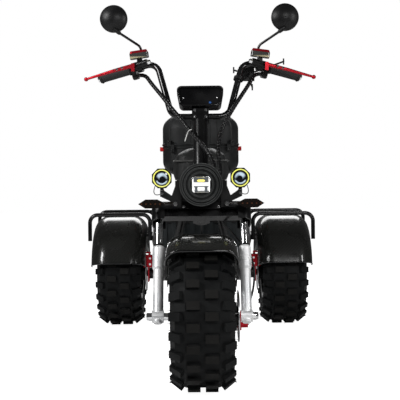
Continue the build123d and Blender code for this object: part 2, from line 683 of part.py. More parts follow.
def mirrors():
    """Round mirrors on bent stems; the shell's back faces forwards."""
    x, y, z = MIRROR_AT
    bowl = MIRROR_T - MIRROR_LIP
    ball = (MIRROR_R ** 2 + bowl ** 2) / (2 * bowl)
    half_turn = asin(MIRROR_R / ball) / 2
    bulge = (ball * sin(half_turn), ball * (1 - cos(half_turn)))
    outline = ThreePointArc((0, 0), bulge, (MIRROR_R, bowl))
    outline += Polyline((MIRROR_R, bowl), (MIRROR_R, MIRROR_T), (MIRROR_R - MIRROR_WALL, MIRROR_T),
                        (MIRROR_R - MIRROR_WALL, bowl), (0, bowl), (0, 0))
    shell = revolve(make_face(outline), Axis.Y)
    shell = Pos(x, y - MIRROR_T / 2, z) * shell
    lean = (Vector(*MIRROR_TOP) - Vector(*MIRROR_KNEE)).normalized()
    shell += rod(Vector(*MIRROR_TOP) + lean * SEAT_GAP, Vector(*MIRROR_TOP) + lean * 28, MIRROR_BOSS_R)
    save("mirror_shells", both(shell))
    glass_r = MIRROR_R - MIRROR_WALL - SEAT_GAP
    glass = barrel([(bowl + SEAT_GAP, 0), (bowl + SEAT_GAP, glass_r), (MIRROR_T - 2, glass_r), (MIRROR_T - 2, 0)])
    save("mirror_glasses", both(Pos(x, y - MIRROR_T / 2, z) * glass))
    foot = Vector(*MIRROR_FOOT) + Vector(0, 0, SEAT_GAP)
    stem = bent_bar([foot, MIRROR_KNEE, MIRROR_TOP], [22], MIRROR_STEM_R)
    save("mirror_stems", both(stem))


def dash():
    """The display pod above the bar clamp."""
    low, high = DASH_Z
    outline = ((-DASH_W[0] / 2, low), (DASH_W[0] / 2, low), (DASH_W[1] / 2, high), (-DASH_W[1] / 2, high))
    pod = face_plate(outline, DASH_Y - DASH_T / 2, DASH_T)
    pod = fillet(pod.edges().filter_by(Axis.Y), DASH_ROUND)
    rim = DASH_RIM
    window = ((-DASH_W[0] / 2 + rim, low + rim), (DASH_W[0] / 2 - rim, low + rim), (DASH_W[1] / 2 - rim, high - rim),
              (-DASH_W[1] / 2 + rim, high - rim))
    pocket = face_plate(window, DASH_Y - DASH_T / 2, DASH_POCKET)
    pod -= fillet(pocket.edges().filter_by(Axis.Y), DASH_ROUND - rim)
    clamp_top = COLUMN_TOP + SEAT_GAP + CLAMP_H
    pod += block((-20, 20), (DASH_Y, DASH_Y + 12), (clamp_top + SEAT_GAP, low + 2))
    save("dash", FORK_FRAME * pod)


def phone_cradle():
    """A plate on a riser clamp with three claws for a phone, behind the left side of the bar."""
    foot = Vector(*fork_point(BAR_LOW_X, CROWN_OFFSET, BAR_Z))
    riser = Vector(*BAR_HIGH) - foot
    share, width = CRADLE_AT
    seat = foot + riser * share
    way = riser.normalized()
    ring = rod(seat - way * width / 2, seat + way * width / 2, BAR_R + 6)
    plate_x, plate_z = CRADLE_PLATE
    middle = ((plate_x[0] + plate_x[1]) / 2, CRADLE_Y[0] + 1, (plate_z[0] + plate_z[1]) / 2)
    holder = ring + rod(seat, middle, CRADLE_ARM_R * 2) + block(plate_x, CRADLE_Y, plate_z)
    level = (CRADLE_Y[0] + CRADLE_Y[1]) / 2
    for x, z in CRADLE_CLAWS:
        tip = Vector(x, level, z)
        holder += rod((middle[0], level, middle[2]), tip, CRADLE_ARM_R)
        holder += rod(tip - Vector(0, CLAW_L / 2, 0), tip + Vector(0, CLAW_L / 2, 0), CLAW_R)
        holder += rod(tip - Vector(0, 0, CLAW_L / 2), tip + Vector(0, 0, CLAW_L / 2), CLAW_R)
    save("phone_cradle", holder - rod(foot, Vector(*BAR_HIGH), BAR_R + SLIP_GAP))


def frame():
    """Head tube, twin tubes and cross members, with the deck and the seat's base."""
    tube = bent_bar(FRAME_POINTS, FRAME_BENDS, FRAME_TUBE_R)
    head_axis = [fork_point(0, CROWN_OFFSET, z) for z in (HEAD_LOW, HEAD_HIGH)]
    body = rod(head_axis[0], head_axis[1], HEAD_R) + both(tube)
    gusset = side_plate(((212, 576), (345, 462), (345, 480), (245, 650), (235, 650)), -3, 6)
    body += gusset
    upper, lower = Vector(*FRAME_POINTS[1]), Vector(*FRAME_POINTS[2])
    down = Vector(0, lower.Y - upper.Y, lower.Z - upper.Z)
    cover = Plane(origin=(0, upper.Y, upper.Z), x_dir=(1, 0, 0), z_dir=down.cross(Vector(1, 0, 0)))
    body += plate(((-upper.X, 0), (upper.X, 0), (lower.X, down.length), (-lower.X, down.length)), cover, GUSSET_T)
    y, z = PIVOT_AT
    body += rod((-PIVOT_HALF, y, z), (PIVOT_HALF, y, z), CROSS_R)
    rail_half = FRAME_POINTS[-1][0]
    for spot in RAIL_CROSS_Y:
        body += rod((-rail_half, spot, FRAME_POINTS[-1][2]), (rail_half, spot, FRAME_POINTS[-1][2]), CROSS_R)
    body += rod((-lower.X, lower.Y, lower.Z), (lower.X, lower.Y, lower.Z), CROSS_R)
    deck_x, deck_y, deck_z = FRAME_POINTS[3]
    body += rod((-deck_x, deck_y + DECK_CROSS, deck_z), (deck_x, deck_y + DECK_CROSS, deck_z), CROSS_R)
    beneath = Vector(*head_axis[0]) * 2 - Vector(*head_axis[1])
    body -= rod(beneath, Vector(*head_axis[1]) * 2 - Vector(*head_axis[0]), STEM_R + BEARING_GAP)
    save("main_frame", body)

    save("floorboard", block((-FLOOR_HALF, FLOOR_HALF), FLOOR_Y, FLOOR_Z))
    panel = block((-FLOOR_HALF, FLOOR_HALF), PANEL_Y, PANEL_Z)
    pitch = 2 * FLOOR_HALF / PANEL_RIBS
    for rib in range(PANEL_RIBS):
        x = -FLOOR_HALF + pitch * (rib + 0.5)
        panel += block((x - pitch / 4, x + pitch / 4), (PANEL_Y[0] - PANEL_RIB, PANEL_Y[0] + 1),
                       (FLOOR_Z[1], PANEL_Z[1]))
    save("front_panel", panel)
    battery = block((-BATTERY_HALF, BATTERY_HALF), BATTERY_Y, BATTERY_Z)
    save("battery_box", chamfer(battery.edges().filter_by(Axis.Y), 12))
    base = block((-BASE_HALF, BASE_HALF), BASE_Y, BASE_Z)
    save("seat_base", fillet(base.edges().filter_by(Axis.Z), 40))


def seat():
    """The cushion as one plain crowned form."""
    low, edge, high = SEAT_Z
    front, back = SEAT_Y
    outline = ((front, low), (back, low), (back, high - 10), (back - 60, high), (front + 90, high - 4),
               (front + 30, edge + 26), (front, edge))
    cushion = side_plate(outline, -SEAT_HALF, 2 * SEAT_HALF)
    upper = cushion.edges().filter_by(lambda edge: edge.center().Z > low + SEAT_ROUND)
    save("seat_cushion", fillet(upper, SEAT_ROUND))


def top_case():
    """Case shell on its rack, and the lid on two hinge pins at the front."""
    low, seam, lid, top = CASE_Z
    wall = CASE_WALL

    outer = case_half(0, seam, low, CASE_FOOT_ROUND)
    inner = case_half(wall, seam, low + wall, CASE_FOOT_ROUND - wall)
    pin_in, pin_mid, pin_out = [(x, HINGE_Y, HINGE_Z) for x in (HINGE_X - HINGE_L, HINGE_X, HINGE_X + HINGE_L)]
    arm_y = (HINGE_Y - HINGE_R, CASE_Y[0] + HINGE_ARM)
    knuckle = block((pin_in[0], pin_mid[0]), arm_y, (seam - HINGE_LEAF, HINGE_Z - HINGE_SPLIT)) - inner
    knuckle += rod(pin_in, pin_mid, HINGE_R)
    knuckle += rod(pin_in, pin_out, HINGE_PIN_R)
    save("top_case_base", outer - inner + both(knuckle))

    cave = case_half(wall, lid, top - wall, CASE_TOP_ROUND - wall)
    near = (HINGE_X + SEAT_GAP, HINGE_Y, HINGE_Z)
    leaf = block((near[0], pin_out[0]), arm_y, (HINGE_Z + HINGE_SPLIT, lid + HINGE_LEAF)) - cave
    leaf += rod(near, pin_out, HINGE_R)
    leaf -= rod(pin_in, (pin_out[0] + 1, HINGE_Y, HINGE_Z), HINGE_PIN_R + BEARING_GAP)
    save("top_case_lid", case_half(0, lid, top, CASE_TOP_ROUND) - cave + both(leaf))

    side_x = CASE_SEAM_HALF + SEAT_GAP
    save("case_reflectors", both(block((side_x - 4, side_x + 12), REFLECTOR_Y, (seam - 20, seam - 2)) - outer))

    rack = block((-RACK_HALF, RACK_HALF), RACK_Y, RACK_Z)
    rail_x, _, rail_z = FRAME_POINTS[-1]
    for x in (-rail_x, rail_x):
        for y in (RACK_Y[0] + 30, RACK_Y[1] - 40):
            rack += rod((x, y, rail_z + FRAME_TUBE_R + SEAT_GAP), (x, y, RACK_Z[0] + 1), RACK_POST_R)
    save("case_rack", rack)
    lamp_front = RAIL_CROSS_Y[-1] + CROSS_R + SEAT_GAP
    lamp = block((-62, 62), (lamp_front, REAR_REACH), (rail_z - 26, rail_z + 22))
    save("tail_lamp", fillet(lamp.edges().filter_by(Axis.Y), 14))


def rear_axle():
    """Driven axle, swing arm, shocks and rear brake calipers."""
    y, z = WHEELBASE, AXLE_Z
    housing = rod((-HOUSING_END, y, z), (HOUSING_END, y, z), HOUSING_R)
    bell = [(-BELL_HALF, 0), (-BELL_HALF, BELL_R - 22), (-BELL_HALF + 22, BELL_R), (BELL_HALF - 22, BELL_R),
            (BELL_HALF, BELL_R - 22), (BELL_HALF, 0)]
    housing += Pos(0, y, z) * turned(bell)
    for sign in (-1, 1):
        housing -= rod((sign * (SHAFT_IN - 3), y, z), (sign * (HOUSING_END + 1), y, z), SHAFT_R + BEARING_GAP)
    save("axle_housing", housing)

    pivot_y, pivot_z = PIVOT_AT
    half_eye = ARM_EYE_W / 2
    arm = rod((ARM_X, pivot_y, pivot_z), (ARM_X, y, z), ARM_R)
    arm += rod((ARM_X - half_eye, pivot_y, pivot_z), (ARM_X + half_eye, pivot_y, pivot_z), CROSS_R + 9)
    arm += rod((ARM_X - half_eye, y, z), (ARM_X + half_eye, y, z), HOUSING_R + 10)
    arm -= rod((0, pivot_y, pivot_z), (2 * ARM_X, pivot_y, pivot_z), CROSS_R + SLIP_GAP)
    arm -= rod((0, y, z), (2 * ARM_X, y, z), HOUSING_R + SLIP_GAP)
    save("swing_arm", both(arm))

    foot = Vector(SHOCK_X, y, z + HOUSING_R + SEAT_GAP)
    head = Vector(SHOCK_X, SHOCK_TOP_Y, FRAME_POINTS[-1][2] - FRAME_TUBE_R - SEAT_GAP)
    lean = (head - foot).normalized()
    span = (head - foot).length
    save("shock_bodies", both(rod(foot + lean * 2, head - lean * 2, SHOCK_R)))
    save("shock_springs", both(rod(foot + lean * span * 0.3, foot + lean * span * 0.92, SPRING_R, SHOCK_R + SLIP_GAP)))

    disc_in = REAR_TRACK / 2 - DISC_X - DISC_T
    disc_out = REAR_TRACK / 2 - DISC_X
    caliper = block((disc_in - 26, disc_out + 8), (y - 78, y - 38), (z + 33, z + 86))
    caliper += block((disc_in - 20, disc_out + 8), (y - 70, y - 62), (z + 94, z + 101))
    caliper += rod((disc_in - 14, y - 66, z + 80), (disc_in - 14, y - 66, z + 95), 5)
    caliper -= block((disc_in - 1.4, disc_out + 1.4), (y - 100, y), (z, z + 74))
    caliper += block((disc_in - 12, disc_in - 6.5), (y - 60, y + 10), (z - 34, z + 60)) - rod(
        (disc_in - 40, y, z), (disc_in, y, z), HOUSING_R + SLIP_GAP)
    save("rear_calipers", both(caliper))


def rear_fenders():
    """Domed fenders with their side brackets and the tube rails over them."""
    half = FENDER_W / 2
    skin = arch(half, FENDER_R, FENDER_DEPTH, FENDER_ROUND)
    skin -= arch(half - FENDER_WALL, FENDER_R - FENDER_WALL, FENDER_DEPTH, FENDER_ROUND - FENDER_WALL)
    sweep_deg = 180 - FENDER_FRONT_DEG - FENDER_BACK_DEG
    shell = Rot(FENDER_BACK_DEG, 0, 0) * revolve(skin, Axis.X, sweep_deg)
    y, z = WHEELBASE, AXLE_Z
    save("rear_fenders", both(Pos(REAR_TRACK / 2, y, z) * shell))
    front, back = RAIL_Y
    outline = ((y - 34, z - 12), (y + 34, z - 12), (y + 42, z + 110), (back + 10, RAIL_FOOT - 4), (back + 10, RAIL_FOOT + 22),
               (y + 100, z + 216), (y - 100, z + 216), (front - 10, RAIL_FOOT + 22), (front - 10, RAIL_FOOT - 4),
               (y - 42, z + 110))
    arm = side_plate(outline, BRACKET_X, BRACKET_T)
    arm -= rod((BRACKET_X - 9, y, z), (BRACKET_X + 9, y, z), HOUSING_R + SLIP_GAP)
    mid = FENDER_R - (FENDER_DEPTH + FENDER_ROUND) / 2
    for offset in (-70, 70):
        spot = (y + offset, z + sqrt(mid ** 2 - offset ** 2))
        arm += rod((BRACKET_X + 1, *spot), (FENDER_EDGE - SEAT_GAP, *spot), 7)
    save("fender_brackets", both(arm))

    outer_x = REAR_TRACK / 2 + half + RAIL_OUTSET
    hoops = []
    for spot in RAIL_Y:
        hoop = [(outer_x, spot, RAIL_FOOT), (outer_x, spot, RAIL_Z), (RAIL_INNER_X, spot, RAIL_Z),
                (RAIL_INNER_X, spot, RAIL_FOOT)]
        hoops.append(both(bent_bar(hoop, [RAIL_BEND] * 2, RAIL_R)))
    cross_half = RAIL_INNER_X + RAIL_BEND + RAIL_R
    cross = rod((-cross_half, back, RAIL_Z), (cross_half, back, RAIL_Z), RAIL_CROSS_R)
    save("fender_rails", Compound([*hoops[0].solids(), *(hoops[1] + cross).solids()]))


def front_brake():
    """Front caliper on its bracket, with the hose down the fork leg."""
    disc_out = DISC_X + DISC_T
    y, z = 63.0, AXLE_Z - 33.0
    caliper = block((DISC_X - 8, disc_out + 9), (y - 21, y + 21), (z - 19, z + 19))
    caliper -= block((DISC_X - 1.4, disc_out + 1.4), (y - 60, y + 18.5), (z - 60, z + 60))
    caliper += rod((disc_out + 8, y, z), (disc_out + 30, y, z), 14)
    arm = side_plate(((-14, AXLE_Z + 14), (14, AXLE_Z + 14), (y + 18, z + 18), (y + 18, z - 10), (10, AXLE_Z - 18),
                      (-14, AXLE_Z - 14)), disc_out + 2.4, FORK_X - AXLE_EYE_W / 2 - disc_out - 2.4 - SEAT_GAP)
    arm -= rod((DISC_X, 0, AXLE_Z), (FORK_X, 0, AXLE_Z), AXLE_R + SLIP_GAP)
    save("front_caliper", caliper + arm)
    route = [(70, 168, 512), (92, 164, 484), (122, 146, 450), (150, 132, 418), (164, 112, 385), (168, 94, 345),
             (162, 78, 298), (148, 68, 255), (134, 64, 211)]
    save("brake_hose", cord(route, 3.5))


def looms():
    """Wrapped cable looms from the switch pods down the column."""
    left = [(-220.2, 418, 1021), (-194, 411, 1024), (-172, 380, 990), (-140, 344, 950), (-106, 314, 905),
            (-70, 288, 860), (-34, 259, 812), (6, 240, 768), (36, 216, 722), (46, 184, 690), (42, 158, 655)]
    right = [(220.2, 418, 1021), (194, 411, 1024), (174, 380, 986), (146, 344, 944), (116, 312, 898), (88, 286, 852),
             (66, 268, 806), (58, 240, 758), (60, 212, 716), (64, 182, 684), (60, 158, 640)]
    save("cable_looms", Compound([*cord(left, 6.5).solids(), *cord(right, 6.5).solids()]))


os.makedirs("parts", exist_ok=True)
wheels()
fork()
front_mudguard()
lamps()
handlebar()
cups_and_pods()
mirrors()
dash()
phone_cradle()
frame()
seat()
top_case()
rear_axle()
rear_fenders()
front_brake()
looms()
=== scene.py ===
import logging
import math
from dataclasses import dataclass
from enum import Enum
from typing import ClassVar

import bpy
import numpy as np
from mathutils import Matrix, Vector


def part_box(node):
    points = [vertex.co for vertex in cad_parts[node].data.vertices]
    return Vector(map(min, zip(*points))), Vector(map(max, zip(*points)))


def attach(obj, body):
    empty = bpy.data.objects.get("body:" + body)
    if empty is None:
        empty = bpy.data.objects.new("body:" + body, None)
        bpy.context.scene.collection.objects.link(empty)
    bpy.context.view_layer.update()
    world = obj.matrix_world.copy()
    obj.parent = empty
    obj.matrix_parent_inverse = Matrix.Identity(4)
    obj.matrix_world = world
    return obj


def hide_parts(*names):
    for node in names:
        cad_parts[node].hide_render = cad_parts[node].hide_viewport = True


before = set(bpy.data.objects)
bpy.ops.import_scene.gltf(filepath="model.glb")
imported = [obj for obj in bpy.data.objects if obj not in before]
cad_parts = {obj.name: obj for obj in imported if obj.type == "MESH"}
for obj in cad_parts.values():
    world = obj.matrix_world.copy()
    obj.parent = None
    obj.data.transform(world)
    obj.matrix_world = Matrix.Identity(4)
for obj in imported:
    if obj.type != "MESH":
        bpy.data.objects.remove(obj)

Colour = tuple[float, float, float]
Point = tuple[float, float, float]
Span = tuple[float, float]
Profile = tuple[Span, ...]
Route = tuple[Point, ...]
Piece = bpy.types.Object
Node = bpy.types.ShaderNode
Socket = bpy.types.NodeSocket
Value = Socket | float

LOG = logging.getLogger("scooter")
FRONT_AXLE_Y = -0.66575
REAR_AXLE_Y = FRONT_AXLE_Y + 1.3
AXLE_Z = 0.2285
REAR_X = 0.36
RAKE = math.radians(25.0)
SHARP = math.radians(38.0)
TURN = 2 * math.pi
ROUTE_STEP = 0.0011
TINY = 1e-9
BLACK = (0.0, 0.0, 0.0)
WHITE = (1.0, 1.0, 1.0, 1.0)
LEFT = (1.0, 0.0, 0.0)
RIGHT = (-1.0, 0.0, 0.0)
FORWARD = (0.0, -1.0, 0.0)
UP = (0.0, 0.0, 1.0)
FLIP = np.array([-1.0, 1.0, 1.0])


def behind(distance: float) -> float:
    """Gives the y of a point that lies so far behind the front axle."""
    return FRONT_AXLE_Y + distance


def placed(points: Route) -> np.ndarray:
    """Takes points whose y counts from the front axle to the world."""
    return np.array(points) + np.array([0.0, FRONT_AXLE_Y, 0.0])


def mirrored(*points: Point) -> np.ndarray:
    """Gives the points, then their mirror images on the other side."""
    spots = np.array(points)
    return np.concatenate([spots, spots * FLIP])


class Body(Enum):
    """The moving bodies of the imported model."""

    FRAME = "frame"
    STEERING = "steering"
    FRONT_WHEEL = "front_wheel"
    REAR_LEFT = "rear_wheel_left"
    REAR_RIGHT = "rear_wheel_right"
    LID = "case_lid"


class Bench:
    """Lays out and joins the nodes of one shader."""

    def __init__(self, tree: bpy.types.NodeTree) -> None:
        """Works on the given node tree."""
        self.tree = tree

    def node(self, kind: str, **settings: object) -> Node:
        """Adds a node.

        Args:
            kind: The node's type name, without the leading ShaderNode.
            settings: Properties to set on it.

        Returns:
            The new node.
        """
        made = self.tree.nodes.new("ShaderNode" + kind)
        for key, value in settings.items():
            setattr(made, key, value)
        return made

    def feed(self, target: Socket, value: Value | tuple[float, ...]) -> None:
        """Links a socket to the target, or sets a plain value on it.

        Args:
            target: The input to feed.
            value: The socket or the value.
        """
        if isinstance(value, Socket):
            self.tree.links.new(value, target)
        else:
            target.default_value = value

    def fill(self, node: Node, **values: Value | tuple[float, ...]) -> Node:
        """Feeds a node's inputs.

        Args:
            node: The node.
            values: Its inputs by name, with spaces written as underscores.

        Returns:
            The same node.
        """
        for key, value in values.items():
            self.feed(node.inputs[key.replace("_", " ")], value)
        return node

    def sum(self, operation: str, *values: Value) -> Socket:
        """Works out one Math operation.

        Args:
            operation: The Math node's operation.
            values: Its operands.

        Returns:
            The result's socket.
        """
        made = self.node("Math", operation=operation)
        for slot, value in zip(made.inputs, values):
            self.feed(slot, value)
        return made.outputs[0]

    def less(self, first: Value, second: Value) -> Socket:
        """Takes the second value from the first."""
        return self.sum("SUBTRACT", first, second)

    def times(self, first: Value, second: Value) -> Socket:
        """Multiplies two values."""
        return self.sum("MULTIPLY", first, second)

    def reach(self, first: Socket, second: Socket) -> Socket:
        """Gives the root of the sum of two squares."""
        return self.sum("SQRT", self.sum("ADD", self.times(first, first), self.times(second, second)))

    def ramp(self, value: Socket, low: float, high: float, to_low: float = 0.0,
             to_high: float = 1.0) -> Socket:
        """Maps a value smoothly from one range to another.

        Args:
            value: The value to map.
            low: The input that gives to_low.
            high: The input that gives to_high.
            to_low: The output at low.
            to_high: The output at high.

        Returns:
            The mapped value's socket.
        """
        made = self.node("MapRange", interpolation_type="SMOOTHSTEP")
        self.fill(made, Value=value, From_Min=low, From_Max=high, To_Min=to_low, To_Max=to_high)
        return made.outputs["Result"]

    def between(self, share: Socket, ends: Span) -> Socket:
        """Maps a share from 0 to 1 smoothly to the range between two ends."""
        return self.ramp(share, 0.0, 1.0, *ends)

    def band(self, value: Socket, rise: Span, fall: Span) -> Socket:
        """Gives 1 between a rise and a fall of the value, and 0 outside them."""
        return self.times(self.ramp(value, *rise), self.ramp(value, *fall))

    def mix(self, share: Socket, first: Socket | Colour, second: Socket | Colour) -> Socket:
        """Mixes two colours by a share from 0 to 1.

        Args:
            share: The second colour's share.
            first: The colour at share 0.
            second: The colour at share 1.

        Returns:
            The mixed colour's socket.
        """
        made = self.fill(self.node("Mix", data_type="RGBA"), Factor=share)
        for name, colour in (("A", first), ("B", second)):
            slot = [s for s in made.inputs if s.name == name and s.type == "RGBA"][0]
            self.feed(slot, colour if isinstance(colour, Socket) else (*colour, 1.0))
        return [s for s in made.outputs if s.type == "RGBA"][0]

    def bump(self, height: Socket, depth: float) -> Socket:
        """Turns a height from 0 to 1, depth metres deep, into a normal."""
        return self.fill(self.node("Bump"), Strength=1.0, Distance=depth, Height=height).outputs["Normal"]

    def place(self) -> tuple[Socket, Socket, Socket, Socket]:
        """Reads the object coordinates.

        Returns:
            The vector's socket, then those of x, y and z.
        """
        spot = self.node("TexCoord").outputs["Object"]
        parts = self.fill(self.node("SeparateXYZ"), Vector=spot)
        return spot, *parts.outputs

    def group(self, tree: bpy.types.NodeTree, **values: Value) -> Node:
        """Places a shared effect and fills its inputs as fill does."""
        return self.fill(self.node("Group", node_tree=tree), **values)


class Effects:
    """Shared shader effects, each a node group that is built once."""

    built: ClassVar[dict[str, bpy.types.NodeTree]] = {}
    fine_detail: ClassVar[float] = 3.0
    broad_scale: ClassVar[float] = 11.0
    broad_detail: ClassVar[float] = 4.0
    dust_scale: ClassVar[float] = 420.0
    marks_edge: ClassVar[Span] = (0.36, 0.66)
    specks_edge: ClassVar[Span] = (0.66, 0.78)
    weave_period: ClassVar[float] = 4.0
    weave_over: ClassVar[float] = 1.5
    strand_fall: ClassVar[float] = 1.7
    weft_tone: ClassVar[float] = 0.42

    @classmethod
    def start(cls, name: str, inputs: str, outputs: str) -> tuple[Bench, bpy.types.NodeOutputs, Node]:
        """Opens an empty group.

        Args:
            name: The group's name.
            inputs: Its inputs' names in one string; Spot is a vector and the others are numbers.
            outputs: Its outputs' names in one string, all numbers.

        Returns:
            The bench, the inner inputs and the output node.
        """
        tree = bpy.data.node_groups.new(name, "ShaderNodeTree")
        for way, labels in (("INPUT", inputs), ("OUTPUT", outputs)):
            for label in labels.split():
                kind = "NodeSocketVector" if label == "Spot" else "NodeSocketFloat"
                tree.interface.new_socket(label, in_out=way, socket_type=kind)
        cls.built[name] = tree
        return Bench(tree), tree.nodes.new("NodeGroupInput").outputs, tree.nodes.new("NodeGroupOutput")

    @classmethod
    def grain(cls) -> bpy.types.NodeTree:
        """Moulded grain: fine noise for height, broad noise for handling marks, and rare specks.

        Returns:
            The node group.
        """
        if "moulded_grain" not in cls.built:
            bench, given, out = cls.start("moulded_grain", "Spot Fineness", "Height Marks Specks")
            fine, broad, dust = (bench.fill(bench.node("TexNoise"), Vector=given["Spot"]) for _ in range(3))
            bench.fill(fine, Scale=given["Fineness"], Detail=cls.fine_detail)
            bench.fill(broad, Scale=cls.broad_scale, Detail=cls.broad_detail)
            bench.fill(dust, Scale=cls.dust_scale)
            marks = bench.ramp(broad.outputs[0], *cls.marks_edge)
            specks = bench.ramp(dust.outputs[0], *cls.specks_edge)
            bench.fill(out, Height=fine.outputs[0], Marks=marks, Specks=specks)
        return cls.built["moulded_grain"]

    @classmethod
    def twill(cls) -> bpy.types.NodeTree:
        """Two-by-two twill: over strands where the column plus row, modulo four, is below two.

        Returns:
            The node group.
        """
        if "twill_weave" not in cls.built:
            bench, given, out = cls.start("twill_weave", "Across Along Strand", "Tone Height")
            column, row = (bench.sum("DIVIDE", given[way], given["Strand"]) for way in ("Across", "Along"))
            step = bench.sum("ADD", bench.sum("FLOOR", column), bench.sum("FLOOR", row))
            turn = bench.sum("FLOORED_MODULO", step, cls.weave_period)
            over = bench.sum("LESS_THAN", turn, cls.weave_over)
            strands = []
            for shown, lane in ((over, column), (bench.less(1.0, over), row)):
                offset = bench.sum("ABSOLUTE", bench.less(bench.sum("FRACT", lane), 0.5))
                strands.append(bench.times(shown, bench.less(1.0, bench.times(offset, cls.strand_fall))))
            warp, weft = strands
            tone = bench.sum("ADD", warp, bench.times(weft, cls.weft_tone))
            bench.fill(out, Height=bench.sum("ADD", warp, weft), Tone=tone)
        return cls.built["twill_weave"]


@dataclass(frozen=True)
class Finish:
    """A painted, moulded or metal surface with grain and handling marks."""

    name: str
    colour: Colour
    roughness: float = 0.4
    metallic: float = 0.0
    coat: float = 0.0
    marked: Colour | None = None
    spread: float = 0.12
    fineness: float = 900.0
    depth: float = 0.00006
    gleam: float = 0.25
    coat_roughness: float = 0.05
    least_roughness: float = 0.02
    mark_gain: float = 1.35
    mark_lift: float = 0.004

    def material(self) -> bpy.types.Material:
        """Makes this finish's material, or finds it after its first use.

        Returns:
            The material.
        """
        known = bpy.data.materials.get(self.name)
        if known is not None:
            return known
        made = bpy.data.materials.new(self.name)
        made.use_nodes = True
        bench = Bench(made.node_tree)
        shader = made.node_tree.nodes["Principled BSDF"]
        bench.fill(shader, Metallic=self.metallic, Coat_Weight=self.coat, Coat_Roughness=self.coat_roughness,
                   Specular_IOR_Level=self.gleam)
        made.diffuse_color = (*self.colour, 1.0)
        self.paint(bench, shader)
        return made

    def grain(self, bench: Bench) -> bpy.types.NodeOutputs:
        """Places the shared grain on the object's coordinates and gives its outputs."""
        return bench.group(Effects.grain(), Spot=bench.place()[0], Fineness=self.fineness).outputs

    def paint(self, bench: Bench, shader: Node) -> None:
        """Feeds the shader with colour, roughness and grain.

        Args:
            bench: The material's bench.
            shader: Its Principled BSDF.
        """
        grain = self.grain(bench)
        marked = self.marked or tuple(min(1.0, c * self.mark_gain + self.mark_lift) for c in self.colour)
        low = max(self.least_roughness, self.roughness - self.spread / 2)
        bench.fill(shader, Base_Color=bench.mix(grain["Marks"], self.colour, marked),
                   Roughness=bench.between(grain["Marks"], (low, self.roughness + self.spread / 2)),
                   Normal=bench.bump(grain["Height"], self.depth))


@dataclass(frozen=True)
class TyreRubber(Finish):
    """Matt tread rubber with dust in its pores and worn lug tops."""

    colour: Colour = (0.0042, 0.0046, 0.0049)
    marked: Colour = (0.0075, 0.008, 0.0082)
    fineness: float = 700.0
    depth: float = 0.0003
    gleam: float = 0.14
    axle_y: float = 0.0
    worn: Colour = (0.0085, 0.0082, 0.0076)
    worn_reach: Span = (0.2225, 0.228)
    dust: Colour = (0.016, 0.016, 0.015)
    dullness: Span = (0.5, 0.72)

    def paint(self, bench: Bench, shader: Node) -> None:
        """Warms the rubber far from the axle and specks it with dust; arguments as in Finish.paint."""
        _, _, y, z = bench.place()
        grain = self.grain(bench)
        reach = bench.reach(bench.less(y, self.axle_y), bench.less(z, AXLE_Z))
        tone = bench.mix(grain["Marks"], self.colour, self.marked)
        tone = bench.mix(bench.ramp(reach, *self.worn_reach), tone, self.worn)
        bench.fill(shader, Base_Color=bench.mix(grain["Specks"], tone, self.dust),
                   Roughness=bench.between(grain["Marks"], self.dullness),
                   Normal=bench.bump(grain["Height"], self.depth))


@dataclass(frozen=True)
class CarbonTwill(Finish):
    """Lacquered carbon cloth that wraps round an axle's line."""

    colour: Colour = (0.0022, 0.0022, 0.002)
    coat: float = 0.8
    marked: Colour = (0.02, 0.0205, 0.0185)
    depth: float = 0.00004
    axle_y: float = 0.0
    strand: float = 0.0034
    arc_radius: float = 0.255
    gloss: Span = (0.2, 0.32)

    def paint(self, bench: Bench, shader: Node) -> None:
        """Runs the weave across x and along the arc, radius times angle; arguments as in Finish.paint."""
        _, x, y, z = bench.place()
        angle = bench.sum("ARCTAN2", bench.less(z, AXLE_Z), bench.less(y, self.axle_y))
        arc = bench.times(angle, self.arc_radius)
        weave = bench.group(Effects.twill(), Across=x, Along=arc, Strand=self.strand).outputs
        bench.fill(shader, Base_Color=bench.mix(weave["Tone"], self.colour, self.marked),
                   Roughness=bench.between(self.grain(bench)["Marks"], self.gloss),
                   Normal=bench.bump(weave["Height"], self.depth))


@dataclass(frozen=True)
class Ribbed(Finish):
    """A finish with even grooves across one direction."""

    pitch: float = 0.006
    slope: Point = LEFT

    def paint(self, bench: Bench, shader: Node) -> None:
        """Raises ribs as a sine of the distance along the slope; arguments as in Finish.paint."""
        Finish.paint(self, bench, shader)
        along: Value = 0.0
        for part, share in zip(bench.place()[1:], self.slope):
            along = bench.sum("ADD", bench.times(part, share), along)
        wave = bench.sum("SINE", bench.times(along, TURN / self.pitch))
        bench.fill(shader, Normal=bench.bump(bench.ramp(wave, -1.0, 1.0), self.depth))


@dataclass(frozen=True)
class BrushedDisc(Finish):
    """Ground steel with fine rings about an axle."""

    colour: Colour = (0.5, 0.5, 0.51)
    roughness: float = 0.3
    metallic: float = 1.0
    axle_y: float = 0.0
    rings: float = 2600.0
    ring_edge: Span = (0.3, 0.7)
    sheen: Span = (0.18, 0.42)

    def paint(self, bench: Bench, shader: Node) -> None:
        """Rings the steel by its distance from the axle; arguments as in Finish.paint."""
        Finish.paint(self, bench, shader)
        _, _, y, z = bench.place()
        reach = bench.reach(bench.less(z, AXLE_Z), bench.less(y, self.axle_y))
        noise = bench.node("TexNoise", noise_dimensions="1D")
        bench.fill(noise, Scale=1.0, W=bench.times(reach, self.rings))
        bench.fill(shader, Roughness=bench.ramp(noise.outputs[0], *self.ring_edge, *self.sheen))


